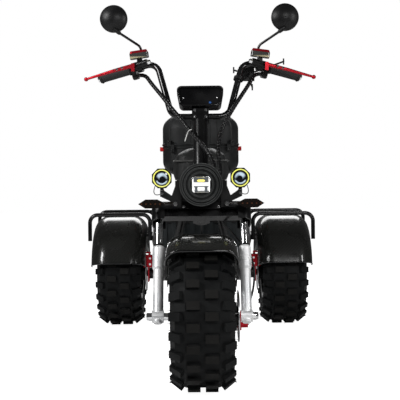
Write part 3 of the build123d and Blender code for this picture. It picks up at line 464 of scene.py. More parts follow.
@dataclass(frozen=True)
class RoundGlass(Finish):
    """A pair of round projector lenses, one each side, with a painted sky reflection over the top and a
    painted highlight arc at the foot, laid out by the distance from each centre.
    """

    centre: Span = (0.125, 0.655)
    radius: float = 0.0245
    # Painted reflection: its tint, its wavy edge, the gap cut round the centre, a highlight arc at the foot
    # and their glow.
    reflection_tint: Colour = (0.5, 0.62, 0.72)
    waves: float = 260.0
    wave_height: float = 0.004
    cloud_foot: Span = (-0.003, 0.011)
    cloud_rim: Span = (0.8, 0.6)
    arc_rise: Span = (0.6, 0.68)
    arc_fall: Span = (0.84, 0.76)
    arc_top: Span = (-0.005, -0.011)
    reflection_gap_edge: Span = (0.34, 0.2)
    reflection_gap_depth: float = 0.75
    gloss: Span = (0.04, 0.1)
    reflection_glow: float = 0.4

    def paint(self, bench: Bench, shader: Node) -> None:
        """Paints a pale sky reflection over the top, cut away round the centre, and a highlight arc at the
        foot, both glowing; arguments as in Finish.paint.
        """
        _, x, _, z = bench.place()
        side = bench.less(bench.sum("ABSOLUTE", x), self.centre[0])
        up = bench.less(z, self.centre[1])
        share = bench.sum("DIVIDE", bench.reach(side, up), self.radius)
        wave = bench.sum("SINE", bench.times(side, self.waves))
        cloud = bench.sum("ADD", up, bench.times(wave, self.wave_height))
        # Painted reflection of the sky over the glass's top half, with a wavy lower edge.
        pale = bench.times(bench.ramp(cloud, *self.cloud_foot), bench.ramp(share, *self.cloud_rim))
        # Painted highlight: an arc near the rim at the foot.
        arc = bench.times(bench.band(share, self.arc_rise, self.arc_fall), bench.ramp(up, *self.arc_top))
        # The painted reflection is cut away round the centre.
        reflection_gap = bench.times(bench.ramp(share, *self.reflection_gap_edge), self.reflection_gap_depth)
        lit = bench.sum("MAXIMUM", bench.less(pale, reflection_gap), arc)
        # The painted reflection and highlight set both the colour and the glow.
        bench.fill(shader, Base_Color=bench.mix(lit, self.colour, self.reflection_tint),
                   Roughness=bench.between(self.grain(bench)["Marks"], self.gloss),
                   Emission_Color=bench.mix(lit, BLACK, self.reflection_tint), Emission_Strength=self.reflection_glow)


@dataclass(frozen=True)
class LampFace(Finish):
    """The headlight's reflector bowl behind its clear face, with painted reflections on it as bright, glowing
    bars.
    """

    centre_z: float = 0.634
    bowl: Colour = (0.13, 0.14, 0.15)
    # Colour of the glow of the painted reflections.
    light: Colour = (1.0, 1.0, 0.98)
    bar_rise: Span = (-0.0065, -0.0005)
    bar_fall: Span = (0.0095, 0.004)
    foot_rise: Span = (-0.0225, -0.015)
    foot_fall: Span = (-0.0055, -0.0105)
    lobe_pitch: float = 0.021
    lobe_edge: Span = (-0.8, 0.6)
    wall_edge: Span = (0.0225, 0.0255)
    gloss: Span = (0.12, 0.3)
    reflection_glow: float = 0.75

    def paint(self, bench: Bench, shader: Node) -> None:
        """Paints bright, glowing reflections: a level bar, the bowl's sides and lobes at its foot; arguments
        as in Finish.paint.
        """
        _, x, _, z = bench.place()
        up = bench.less(z, self.centre_z)
        side = bench.sum("ABSOLUTE", x)
        bar = bench.band(up, self.bar_rise, self.bar_fall)
        lobes = bench.ramp(bench.sum("SINE", bench.times(side, TURN / self.lobe_pitch)), *self.lobe_edge)
        foot = bench.times(bench.band(up, self.foot_rise, self.foot_fall), lobes)
        # The painted reflections: the bar, the lobes at the foot and the bowl's sides, shown bright and
        # glowing.
        lit = bench.sum("MAXIMUM", bench.sum("MAXIMUM", bar, foot), bench.ramp(side, *self.wall_edge))
        bench.fill(shader, Base_Color=bench.mix(lit, self.bowl, self.colour),
                   Roughness=bench.between(lit, self.gloss),
                   Emission_Color=bench.mix(lit, BLACK, self.light), Emission_Strength=self.reflection_glow)


@dataclass(frozen=True)
class Halo(Finish):
    """A lit ring of frosted plastic."""

    strength: float = 1.0
    frost_edge: Span = (0.2, 0.8)
    gloss: Span = (0.3, 0.5)

    def paint(self, bench: Bench, shader: Node) -> None:
        """Lights the ring with slight unevenness; arguments as in Finish.paint."""
        grain = self.grain(bench)
        tone = bench.mix(grain["Marks"], self.colour, self.marked or self.colour)
        bench.fill(shader, Base_Color=tone, Emission_Color=tone, Emission_Strength=self.strength,
                   Roughness=bench.ramp(grain["Height"], *self.frost_edge, *self.gloss))


@dataclass(frozen=True)
class SignalLens(Finish):
    """A smoked lens with a row of small amber bulbs behind it on each side."""

    first_x: float = 0.124
    step: float = 0.0146
    bulbs: int = 5
    fade: float = 0.05
    centre_z: float = 0.574
    bulb_edge: Span = (0.003, 0.0012)
    amber: Colour = (0.085, 0.028, 0.011)
    gloss: Span = (0.16, 0.3)

    def paint(self, bench: Bench, shader: Node) -> None:
        """Dots the lens where the distance to the nearest bulb is small; arguments as in Finish.paint."""
        _, x, _, z = bench.place()
        lane = bench.sum("DIVIDE", bench.less(bench.sum("ABSOLUTE", x), self.first_x), self.step)
        side = bench.times(bench.less(bench.sum("FRACT", lane), 0.5), self.step)
        reach = bench.reach(side, bench.less(z, self.centre_z))
        row = bench.band(lane, (0.0, self.fade), (self.bulbs, self.bulbs - self.fade))
        bulb = bench.times(row, bench.ramp(reach, *self.bulb_edge))
        bench.fill(shader, Base_Color=bench.mix(bulb, self.colour, self.amber),
                   Roughness=bench.between(bulb, self.gloss))


@dataclass(frozen=True)
class Reservoir(Finish):
    """Smoked clear plastic with pale fluid showing at its foot."""

    fluid_top: Span = (1.084, 1.079)
    fluid: Colour = (0.42, 0.38, 0.24)

    def paint(self, bench: Bench, shader: Node) -> None:
        """Pales the cup below the fluid's level; arguments as in Finish.paint."""
        Finish.paint(self, bench, shader)
        low = bench.ramp(bench.place()[3], *self.fluid_top)
        bench.fill(shader, Base_Color=bench.mix(low, self.colour, self.fluid))


@dataclass(frozen=True)
class Vinyl(Finish):
    """Upholstery vinyl with a pebbled leather grain."""

    pebbles: float = 520.0
    pebble_edge: Span = (0.0, 0.25)

    def paint(self, bench: Bench, shader: Node) -> None:
        """Pebbles the vinyl with rounded cells; arguments as in Finish.paint."""
        Finish.paint(self, bench, shader)
        cells = bench.node("TexVoronoi", feature="DISTANCE_TO_EDGE")
        bench.fill(cells, Scale=self.pebbles, Vector=bench.place()[0])
        bench.fill(shader, Normal=bench.bump(bench.ramp(cells.outputs[0], *self.pebble_edge), self.depth))


class Finishes(Enum):
    """Every finish of the scooter."""

    FRAME_PAINT = Finish("frame_gloss_black", (0.0034, 0.0034, 0.0036), 0.28, coat=0.12, depth=0.00002)
    BAR_PAINT = Finish("bar_gloss_black", (0.003, 0.003, 0.0032), 0.18, coat=0.4, depth=0.00001)
    MATTE_BLACK = Finish("moulded_matte_black", (0.005, 0.005, 0.0052), 0.42)
    SATIN_BLACK = Finish("moulded_satin_black", (0.0032, 0.0032, 0.0034), 0.34, depth=0.00004)
    PIANO_BLACK = Finish("polished_black", (0.002, 0.002, 0.0022), 0.1, coat=0.9, depth=0.00001)
    BOX_PLASTIC = Finish("box_black_plastic", (0.004, 0.004, 0.0042), 0.5, depth=0.0001)
    DECK_MAT = Ribbed("deck_ribbed_mat", (0.01, 0.01, 0.0105), 0.62, depth=0.0012, pitch=0.016)
    SLATE = Finish("panel_slate_grey", (0.012, 0.0145, 0.0155), 0.46, depth=0.00008)
    VINYL = Vinyl("seat_charcoal_vinyl", (0.014, 0.0145, 0.0142), depth=0.00015)
    PIPING = Finish("seat_grey_welt", (0.05, 0.05, 0.048))
    CASE = Finish("case_textured_plastic", (0.0105, 0.011, 0.0112), 0.48, fineness=1300.0, depth=0.0003)
    REFLECTOR = Finish("reflector_red", (0.42, 0.008, 0.01), 0.2, coat=1.0, fineness=600.0, depth=0.0004)
    CAST_SILVER = Finish("fork_cast_silver", (0.78, 0.79, 0.8), 0.48, 0.55, fineness=1400.0, depth=0.00008)
    CHROME = Finish("polished_chrome", (0.78, 0.79, 0.8), 0.08, 1.0, spread=0.06, depth=0.000005)
    RED_SPRING = Finish("spring_red_enamel", (0.33, 0.008, 0.01), 0.3, coat=0.6)
    ANODISED = Finish("anodised_red", (0.92, 0.008, 0.022), 0.28, coat=0.5, depth=0.00003)
    FRONT_CARBON = CarbonTwill("mudguard_carbon", axle_y=FRONT_AXLE_Y)
    REAR_CARBON = CarbonTwill("fender_carbon", axle_y=REAR_AXLE_Y)
    FRONT_TYRE = TyreRubber("front_tyre_rubber", axle_y=FRONT_AXLE_Y)
    REAR_TYRE = TyreRubber("rear_tyre_rubber", axle_y=REAR_AXLE_Y)
    RIM = Finish("rim_black_paint", (0.005, 0.005, 0.0055), 0.35, coat=0.2)
    FRONT_DISC = BrushedDisc("front_disc_steel", axle_y=FRONT_AXLE_Y)
    REAR_DISC = BrushedDisc("rear_disc_steel", axle_y=REAR_AXLE_Y)
    GRIP = Ribbed("grip_rubber", (0.006, 0.006, 0.0063), 0.55, depth=0.0008, pitch=0.005,
                  slope=(0.943, 0.238, 0.233))
    LOOM = Finish("spiral_loom_wrap", (0.003, 0.003, 0.0032), 0.3, coat=0.15, depth=0.00002)
    HOSE = Finish("brake_hose_rubber", (0.004, 0.004, 0.0043))
    RESERVOIR = Reservoir("reservoir_smoke", (0.045, 0.045, 0.042), 0.14, coat=0.8, marked=(0.07, 0.07, 0.06))
    MIRROR = Finish("mirror_glass", (0.8, 0.82, 0.84), 0.03, 1.0, spread=0.02, depth=0.0)
    # Its near-white colour is that of the bowl's painted reflections; the rest of the bowl takes the bowl
    # colour.
    LAMP_FACE = LampFace("headlight_bowl", (0.9, 0.91, 0.92), coat=1.0)
    HALO = Halo("halo_yellow_green", (0.72, 0.72, 0.13), marked=(0.66, 0.68, 0.17), strength=0.7)
    EMITTER = Halo("emitter_yellow", (0.78, 0.66, 0.12), marked=(0.85, 0.75, 0.2), strength=0.8)
    BLUE = Finish("connector_blue", (0.012, 0.07, 0.24), 0.35)
    TIE = Finish("cable_tie_nylon", (0.62, 0.62, 0.6), 0.35)
    DASH = Finish("dash_satin_black", (0.0025, 0.0025, 0.0028), 0.26, depth=0.00003)
    LAMP_BODY = Finish("lamp_moulded_grey", (0.011, 0.0118, 0.0118), 0.36, depth=0.00005)
    # Lighter grey than the lamp body: partly the grille's own grey, partly a painted highlight on the ring
    # edges.
    LAMP_BEAD = Finish("lamp_grille_grey", (0.042, 0.045, 0.044), 0.34, coat=0.3, depth=0.00002)
    TAIL = Ribbed("tail_lamp_ribbed_red", (0.3, 0.006, 0.008), 0.16, coat=1.0, depth=0.0012)
    PROJECTOR = RoundGlass("projector_lens", (0.004, 0.005, 0.007), coat=1.0)
    SIGNAL = SignalLens("signal_smoked_lens", (0.007, 0.005, 0.004), coat=0.6)


Dressing = dict[Finishes, str]


class Forms:
    """Grids of points for the shapes that are used more than once."""

    @staticmethod
    def joined(x: np.ndarray | float, y: np.ndarray | float, z: np.ndarray | float) -> np.ndarray:
        """Joins x, y and z, each an array or one number, into points."""
        return np.stack(np.broadcast_arrays(x, y, z), axis=-1)

    @staticmethod
    def turns(count: int) -> np.ndarray:
        """Gives evenly spaced angles round one turn."""
        return np.linspace(0.0, TURN, count, endpoint=False)

    @staticmethod
    def raked(points: np.ndarray | Route | Point) -> np.ndarray:
        """Takes points from the fork's frame to the world.

        The fork's frame leans back by the rake about the front axle, with z up the legs and y backwards.

        Args:
            points: Any array of points in the fork's frame.

        Returns:
            The same points in the world.
        """
        x, y, z = np.moveaxis(np.asarray(points, dtype=float), -1, 0)
        back = y * math.cos(RAKE) + z * math.sin(RAKE) + FRONT_AXLE_Y
        up = z * math.cos(RAKE) - y * math.sin(RAKE) + AXLE_Z
        return np.stack([x, back, up], axis=-1)

    @classmethod
    def leaning(cls, way: Point) -> np.ndarray:
        """Turns a direction from the fork's frame to the world."""
        return cls.raked(way) - cls.raked((0.0, 0.0, 0.0))

    @classmethod
    def tube(cls, path: np.ndarray, radius: float | np.ndarray, sides: int,
             closed: bool = False) -> np.ndarray:
        """Carries a circle along a path.

        The circle stands square to the path: its first axis is the path's direction crossed with the world
        axis that the path uses least, and its second axis is the direction crossed with the first.

        Args:
            path: Points as (n, 3).
            radius: One radius, or an array that spreads to (n, sides).
            sides: Points round the circle.
            closed: True if the path ends where it starts.

        Returns:
            Points as (n, sides, 3).
        """
        ends = np.concatenate([path[-1:], path, path[:1]]) if closed else path
        run = np.gradient(ends, axis=0)
        run = run[1:-1] if closed else run
        run = run / np.linalg.norm(run, axis=1, keepdims=True)
        spare = np.eye(3)[np.argmin(np.abs(run).max(axis=0))]
        side = np.cross(run, spare)
        side = side / np.linalg.norm(side, axis=1, keepdims=True)
        over = np.cross(run, side)
        turn = cls.turns(sides)[None, :, None]
        reach = np.broadcast_to(np.asarray(radius, dtype=float), (len(path), sides))[:, :, None]
        return path[:, None] + reach * (np.cos(turn) * side[:, None] + np.sin(turn) * over[:, None])

    @classmethod
    def turned(cls, profile: Profile | np.ndarray, axes: Point | np.ndarray, places: Route | np.ndarray,
               sides: int) -> np.ndarray:
        """Turns one profile about an axis at each place.

        A point is its place plus along times the axis plus radius times a unit vector that turns round it.

        Args:
            profile: (along, radius) pairs as (n, 2), along growing.
            axes: One axis for all, or one for each place, as (k, 3).
            places: Where each copy starts, as (k, 3).
            sides: Points round the axis.

        Returns:
            Points as (k, n, sides, 3).
        """
        profile, places = np.array(profile), np.array(places)
        axes = np.broadcast_to(np.asarray(axes, dtype=float), places.shape)
        axes = axes / np.linalg.norm(axes, axis=1, keepdims=True)
        spare = np.where(np.abs(axes[:, 2:]) < 0.9, np.array([UP]), np.array([LEFT]))
        first = np.cross(spare, axes)
        first = first / np.linalg.norm(first, axis=1, keepdims=True)
        second = np.cross(axes, first)
        turn = cls.turns(sides)[None, :, None]
        spoke = np.cos(turn) * first[:, None] + np.sin(turn) * second[:, None]
        along = profile[None, :, 0, None, None] * axes[:, None, None, :]
        return places[:, None, None, :] + along + profile[None, :, 1, None, None] * spoke[:, None]

    @classmethod
    def round_loop(cls, half_wide: float, half_long: float, radius: float, steps: int) -> np.ndarray:
        """Walks a rectangle with round corners, each corner a quarter circle about its own centre.

        Args:
            half_wide: Half of its size along the first axis.
            half_long: Half of its size along the second axis.
            radius: The corners' radius.
            steps: Points on each corner.

        Returns:
            Points as (4 * steps, 2), anticlockwise.
        """
        turn = cls.turns(4)[:, None] + np.linspace(0.0, TURN / 4, steps)[None, :]
        signs = np.array([[1, 1], [-1, 1], [-1, -1], [1, -1]])[:, None, :]
        centre = signs * np.array([half_wide - radius, half_long - radius])
        return (centre + radius * np.stack([np.cos(turn), np.sin(turn)], axis=-1)).reshape(-1, 2)

    @staticmethod
    def spline(points: Route | np.ndarray) -> np.ndarray:
        """Reads the smooth line of a route from a NURBS spline with its points as control points.

        Args:
            points: The route's points.

        Returns:
            Points along the line, evenly spaced, as (n, 3).
        """
        curve = bpy.data.curves.new("route", "CURVE")
        curve.dimensions = "3D"
        line = curve.splines.new("NURBS")
        line.points.add(len(points) - 1)
        line.points.foreach_set("co", np.append(points, np.ones((len(points), 1)), axis=1).ravel())
        line.order_u = 3
        line.use_endpoint_u = True
        line.resolution_u = 24
        holder = bpy.data.objects.new("route", curve)
        mesh = bpy.data.meshes.new_from_object(holder)
        spots = Maker.points(mesh)
        bpy.data.objects.remove(holder)
        bpy.data.curves.remove(curve)
        bpy.data.meshes.remove(mesh)
        far = np.append(0.0, np.cumsum(np.linalg.norm(np.diff(spots, axis=0), axis=1)))
        even = np.linspace(0.0, far[-1], max(8, int(far[-1] / ROUTE_STEP)))
        return np.stack([np.interp(even, far, spots[:, axis]) for axis in range(3)], axis=-1)


class Maker:
    """Makes mesh objects from whole arrays, and reads them back."""

    @staticmethod
    def points(mesh: bpy.types.Mesh) -> np.ndarray:
        """Reads a mesh's points.

        Args:
            mesh: The mesh.

        Returns:
            Its points as (n, 3).
        """
        spots = np.empty(3 * len(mesh.vertices))
        mesh.vertices.foreach_get("co", spots)
        return spots.reshape(-1, 3)

    @staticmethod
    def surface(name: str, grid: np.ndarray, wrap: bool = True, ends: bool = True,
                loop: bool = False) -> Piece:
        """Makes one object of one or more grid surfaces of rings by steps.

        Args:
            name: The object's name.
            grid: Points as (rings, steps, 3) or (copies, rings, steps, 3), in metres.
            wrap: True if each ring closes on itself.
            ends: True to close the first and last ring with one face each.
            loop: True if the last ring joins the first.

        Returns:
            The new object, at the origin.
        """
        grid = grid if grid.ndim == 4 else grid[None]
        index = np.arange(grid[..., 0].size).reshape(grid.shape[:3])
        here, across = (index, np.roll(index, -1, axis=2)) if wrap else (index[:, :, :-1], index[:, :, 1:])
        quads = np.stack([here[:, :-1], across[:, :-1], across[:, 1:], here[:, 1:]], axis=-1)
        faces = quads.reshape(-1, 4).tolist()
        if loop:
            last = np.stack([here[:, -1], across[:, -1], across[:, 0], here[:, 0]], axis=-1)
            faces += last.reshape(-1, 4).tolist()
        elif ends:
            faces += index[:, 0, ::-1].tolist() + index[:, -1].tolist()
        mesh = bpy.data.meshes.new(name)
        mesh.from_pydata(grid.reshape(-1, 3).tolist(), [], faces)
        mesh.shade_smooth()
        mesh.set_sharp_from_angle(angle=SHARP)
        made = bpy.data.objects.new(name, mesh)
        bpy.context.scene.collection.objects.link(made)
        return made


class Head(Enum):
    """Heads of fasteners, as (share of height, share of radius) from the seat up, after their sides."""

    HEX = (6, (0.0, 1.0), (0.78, 1.0), (1.0, 0.86))
    SOCKET = (18, (0.0, 1.0), (0.84, 1.0), (1.0, 0.9), (1.0, 0.52), (0.45, 0.5))
    DOME = (18, (0.0, 1.0), (0.35, 0.97), (0.7, 0.78), (0.93, 0.45), (1.0, 0.12))


@dataclass(frozen=True)
class Fasteners:
    """A set of like screws or nuts, sunk by a share of their height."""

    name: str
    head: Head
    radius: float
    height: float
    places: Route | np.ndarray
    axes: Point | np.ndarray
    finish: Finishes = Finishes.CHROME
    slot: str = "chrome"
    sunk: float = 0.1

    def grid(self) -> np.ndarray:
        """Turns every head about its own axis.

        Returns:
            Points as (screws, n, sides, 3).
        """
        sides, *shares = self.head.value
        profile = np.array(shares) * np.array([self.height, self.radius])
        return Forms.turned(profile - np.array([self.sunk * self.height, 0.0]), self.axes, self.places, sides)


@dataclass(frozen=True)
class Guard:
    """A domed guard over a wheel: its section, its run to the front and back, and its edge bead."""

    half: float
    reach: float
    depth: float
    rounding: float
    front_deg: float
    back_deg: float
    bead: float

    def section(self, steps: int = 12) -> np.ndarray:
        """Walks the section: up one side, round a quarter circle, over the top and down again.

        Args:
            steps: Points on each shoulder.

        Returns:
            (across, radius) pairs as (2 * steps + 2, 2).
        """
        turn = np.linspace(0.0, TURN / 4, steps)
        across = self.half - self.rounding * (1 - np.cos(turn))
        out = self.reach - self.rounding * (1 - np.sin(turn))
        right = np.stack([np.append(self.half, across), np.append(self.reach - self.depth, out)], axis=-1)
        return np.concatenate([right, right[::-1] * np.array([-1.0, 1.0])])

    def edges(self, x: float, axle_y: float) -> np.ndarray:
        """Carries a bead along the section at the guard's front and rear end.

        Args:
            x: The guard's middle.
            axle_y: Its wheel's axle.

        Returns:
            Points as (2, n, 12, 3).
        """
        across, out = self.section().T
        lean = np.radians([[-self.front_deg], [self.back_deg]])
        paths = Forms.joined(x + across, axle_y + out * np.sin(lean), AXLE_Z + out * np.cos(lean))
        return np.stack([Forms.tube(path, self.bead, 12) for path in paths])


class Assembly:
    """A sub-assembly: the finishes of its CAD nodes and the pieces that the scene adds to it."""

    body: ClassVar[Body] = Body.FRAME
    dressing: ClassVar[Dressing] = {}
    blue: ClassVar[tuple[Finishes, str]] = (Finishes.BLUE, "shroud_black")

    def build(self) -> list[str]:
        """Dresses the nodes, adds the pieces and returns all names."""
        return self.dress() + [piece.name for piece in self.pieces()]

    def dress(self) -> list[str]:
        """Puts each finish on its nodes.

        Returns:
            The nodes' names.
        """
        for finish, nodes in self.dressing.items():
            for name in nodes.split():
                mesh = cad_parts[name].data
                mesh.materials.clear()
                mesh.materials.append(finish.value.material())
        return " ".join(self.dressing.values()).split()

    def pieces(self) -> list[Piece]:
        """Adds the pieces and returns them."""
        return []

    def add(self, name: str, grid: np.ndarray, finish: Finishes, slot: str, body: Body | None = None,
            loop: bool = False) -> Piece:
        """Makes a piece, dresses it and lets it ride on a body.

        Args:
            name: The piece's name.
            grid: Its points, as in Maker.surface.
            finish: Its finish.
            slot: Not used.
            body: The body that carries it, if not the sub-assembly's own.
            loop: True if its last ring joins the first.

        Returns:
            The new piece.
        """
        piece = Maker.surface(name, grid, loop=loop)
        piece.data.materials.append(finish.value.material())
        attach(piece, (body or self.body).value)
        return piece

    def fasten(self, *sets: Fasteners, body: Body | None = None) -> list[Piece]:
        """Adds sets of screws or nuts, on the body as in add, and returns them."""
        return [self.add(group.name, group.grid(), group.finish, group.slot, body) for group in sets]


@dataclass
class PhotoCamera:
    """The camera, level and in front, as in the photograph."""

    distance: float = 2.8
    height: float = 0.655
    focal_px: float = 907.0
    image_px: float = 400.0
    centre_px: Span = (201.0, 178.0)
    roll_deg: float = 0.6
    sensor: float = 36.0

    def build(self) -> list[str]:
        """Places the camera.

        Returns:
            The camera's name.
        """
        data = bpy.data.cameras.new("photo_camera")
        data.sensor_width = self.sensor
        data.lens = self.sensor * self.focal_px / self.image_px
        data.shift_x = (self.image_px / 2 - self.centre_px[0]) / self.image_px
        data.shift_y = (self.centre_px[1] - self.image_px / 2) / self.image_px
        camera = bpy.data.objects.new("photo_camera", data)
        camera.location = (0.0, behind(-self.distance), self.height)
        camera.rotation_euler = (TURN / 4, math.radians(self.roll_deg), 0.0)
        bpy.context.scene.collection.objects.link(camera)
        bpy.context.scene.camera = camera
        return [camera.name]


@dataclass(frozen=True)
class SoftBox:
    """A rectangular lamp that faces a point, with its power in watts."""

    name: str
    place: Point
    aim: Point
    size: Span
    power: float
    in_gloss: bool = True

    def build(self) -> str:
        """Places the lamp.

        Returns:
            The lamp's name.
        """
        data = bpy.data.lights.new(self.name, "AREA")
        data.shape = "RECTANGLE"
        data.size, data.size_y = self.size
        data.energy = self.power
        lamp = bpy.data.objects.new(self.name, data)
        lamp.visible_glossy = self.in_gloss
        lamp.location = self.place
        run = np.array(self.aim) - np.array(self.place)
        level = math.hypot(run[0], run[1])
        lamp.rotation_euler = (math.atan2(level, -run[2]), 0.0, math.atan2(-run[0], run[1]))
        bpy.context.scene.collection.objects.link(lamp)
        return lamp.name


@dataclass
class Studio:
    """A pale floor, a bright surround and soft boxes."""

    floor_half: float = 14.0
    floor_glow: float = 0.97
    floor_roughness: float = 0.9
    floor_colour: tuple[float, ...] = (0.82, 0.82, 0.82, 1.0)
    fill: float = 0.06
    boxes: tuple[SoftBox, ...] = (
        SoftBox("top_box", (0.0, 0.2, 3.2), (0.0, 0.1, 0.4), (2.4, 1.4), 38.0, in_gloss=False),
        SoftBox("left_box", (-1.9, -1.55, 2.05), (-0.3, 0.0, 0.4), (0.7, 0.9), 44.0),
        SoftBox("right_box", (2.3, -1.9, 1.5), (0.2, -0.1, 0.5), (0.3, 1.3), 22.0),
        SoftBox("front_box", (0.75, -3.2, 2.0), (0.3, 0.3, 0.4), (1.2, 0.4), 24.0),
        SoftBox("back_box", (0.0, 3.2, 2.4), (0.0, 0.2, 0.6), (3.0, 1.0), 36.0),
    )

    def build(self) -> list[str]:
        """Makes the surround, the floor and the lights.

        Returns:
            The floor's and the lights' names.
        """
        bpy.context.scene.view_settings.view_transform = "Standard"
        self.surround()
        return [self.floor()] + [box.build() for box in self.boxes]

    def surround(self) -> None:
        """Sets a white backdrop for the camera and a dim even fill for everything else."""
        world = bpy.data.worlds.new("studio")
        world.use_nodes = True
        bpy.context.scene.world = world
        bench = Bench(world.node_tree)
        seen = bench.node("LightPath").outputs["Is Camera Ray"]
        bench.fill(world.node_tree.nodes["Background"], Color=WHITE,
                   Strength=bench.between(seen, (self.fill, 1.0)))

    def floor(self) -> str:
        """Makes the floor, which reads white to the camera.

        Returns:
            The floor's name.
        """
        side = np.array([-self.floor_half, self.floor_half])
        grid = Forms.joined(side[None, :], side[:, None], 0.0)
        floor = Maker.surface("floor", grid, wrap=False, ends=False)
        paint = bpy.data.materials.new("floor_white")
        paint.use_nodes = True
        bench = Bench(paint.node_tree)
        seen = bench.node("LightPath").outputs["Is Camera Ray"]
        bench.fill(paint.node_tree.nodes["Principled BSDF"], Base_Color=self.floor_colour,
                   Roughness=self.floor_roughness, Emission_Color=WHITE,
                   Emission_Strength=bench.between(seen, (0.0, self.floor_glow)))
        floor.data.materials.append(paint)
        return floor.name


@dataclass
class Wheels(Assembly):
    """Tyres, rims and brake discs, with their ribs, moulding hairs, valves and nuts."""

    dressing: ClassVar[Dressing] = {
        Finishes.FRONT_TYRE: "front_tyre",
        Finishes.REAR_TYRE: "rear_tyre_left rear_tyre_right",
        Finishes.RIM: "front_rim rear_rim_left rear_rim_right",
        Finishes.FRONT_DISC: "front_disc",
        Finishes.REAR_DISC: "rear_disc_left rear_disc_right",
    }
    rib_reach: Span = (0.128, 0.15)
    rib_r: float = 0.0022
    rib_sunk: float = 0.0008
    wall_at_rim: Span = (0.104, 0.082)
    wall_at_bulge: Span = (0.172, 0.095)
    hair_count: int = 132
    hair_reach: float = 0.196
    hair_x: float = 0.088
    hair_lean: float = 0.35
    hair: Profile = ((0.0, 0.0008), (0.012, 0.0006), (0.0165, 0.0003))
    valve: Profile = ((0.0, 0.0045), (0.016, 0.004), (0.017, 0.0028), (0.027, 0.0028), (0.028, 0.0022))
    valve_foot: Span = (0.055, 0.0938)
    valve_lean: Span = (0.5, -0.87)
    hub_end: float = 0.08
    nut_ring: float = 0.02
    nut_count: int = 5

    def pieces(self) -> list[Piece]:
        """Adds each wheel's pieces.

        Returns:
            The pieces.
        """
        return [
            *self.wheel("front", (0.0, FRONT_AXLE_Y, AXLE_Z), Body.FRONT_WHEEL, -1.0),
            *self.wheel("rear_left", (REAR_X, REAR_AXLE_Y, AXLE_Z), Body.REAR_LEFT, 1.0),
            *self.wheel("rear_right", (-REAR_X, REAR_AXLE_Y, AXLE_Z), Body.REAR_RIGHT, -1.0),
        ]

    def wheel(self, name: str, hub: Point, body: Body, out: float) -> list[Piece]:
        """Makes the sidewall ribs, the hairs, the valve and, on a rear wheel, the hub's nuts and cap.

        Args:
            name: The wheel's name.
            hub: Its centre.
            body: The body that it is.
            out: The sign of x on its outer side.

        Returns:
            The pieces.
        """
        front = body is Body.FRONT_WHEEL
        rubber = Finishes.FRONT_TYRE if front else Finishes.REAR_TYRE
        ribs = np.stack([self.rib(hub, reach, side) for reach in self.rib_reach for side in (1.0, -1.0)])
        foot = np.array(hub) + np.array([out * self.valve_foot[0], 0.0, self.valve_foot[1]])
        lean = (out * self.valve_lean[0], 0.0, self.valve_lean[1])
        stem = Forms.turned(self.valve, lean, foot[None], 14)
        made = [
            self.add(name + "_sidewall_ribs", ribs, rubber, "tyre_rubber", body, loop=True),
            self.add(name + "_vent_hairs", self.hairs(hub), rubber, "tyre_rubber", body),
            self.add(name + "_valve", stem, Finishes.RIM, "rim_black", body),
        ]
        if front:
            return made
        axis = (out, 0.0, 0.0)
        middle = np.array([hub]) + self.hub_end * np.array(axis)
        turn = Forms.turns(self.nut_count)
        ring = middle + self.nut_ring * Forms.joined(0.0, np.cos(turn), np.sin(turn))
        nuts = Fasteners(name + "_hub_nuts", Head.HEX, 0.0065, 0.007, ring, axis)
        cap = Fasteners(name + "_hub_cap", Head.DOME, 0.0115, 0.007, middle, axis, Finishes.RIM, "rim_black")
        return made + self.fasten(nuts, cap, body=body)

    def hairs(self, hub: Point) -> np.ndarray:
        """Sets fine moulding hairs round both shoulders of a tyre.

        Each is a thin cone with its foot inside the shoulder, leaning outwards along x and from the axle.

        Args:
            hub: The wheel's centre.

        Returns:
            Points as (hairs, n, 5, 3).
        """
        turn = Forms.turns(self.hair_count)
        side = np.where(np.arange(self.hair_count) % 2 == 0, 1.0, -1.0)
        spoke = Forms.joined(0.0, np.cos(turn), np.sin(turn))
        across = Forms.joined(side, 0.0, 0.0)
        places = np.array(hub) + self.hair_reach * spoke + self.hair_x * across
        return Forms.turned(self.hair, across + self.hair_lean * spoke, places, 5)

    def rib(self, hub: Point, reach: float, side: float) -> np.ndarray:
        """Turns a small circle about the axle on the straight line of the sidewall.

        Args:
            hub: The wheel's centre.
            reach: The rib's radius about the axle.
            side: 1 for the +x wall, -1 for the other.

        Returns:
            Points as (n, 10, 3).
        """
        (low, thin), (high, wide) = self.wall_at_rim, self.wall_at_bulge
        out = side * (thin + (wide - thin) * (reach - low) / (high - low) - self.rib_sunk)
        turn = Forms.turns(96)
        path = np.array(hub) + Forms.joined(out, reach * np.cos(turn), reach * np.sin(turn))
        return Forms.tube(path, self.rib_r, 10, closed=True)


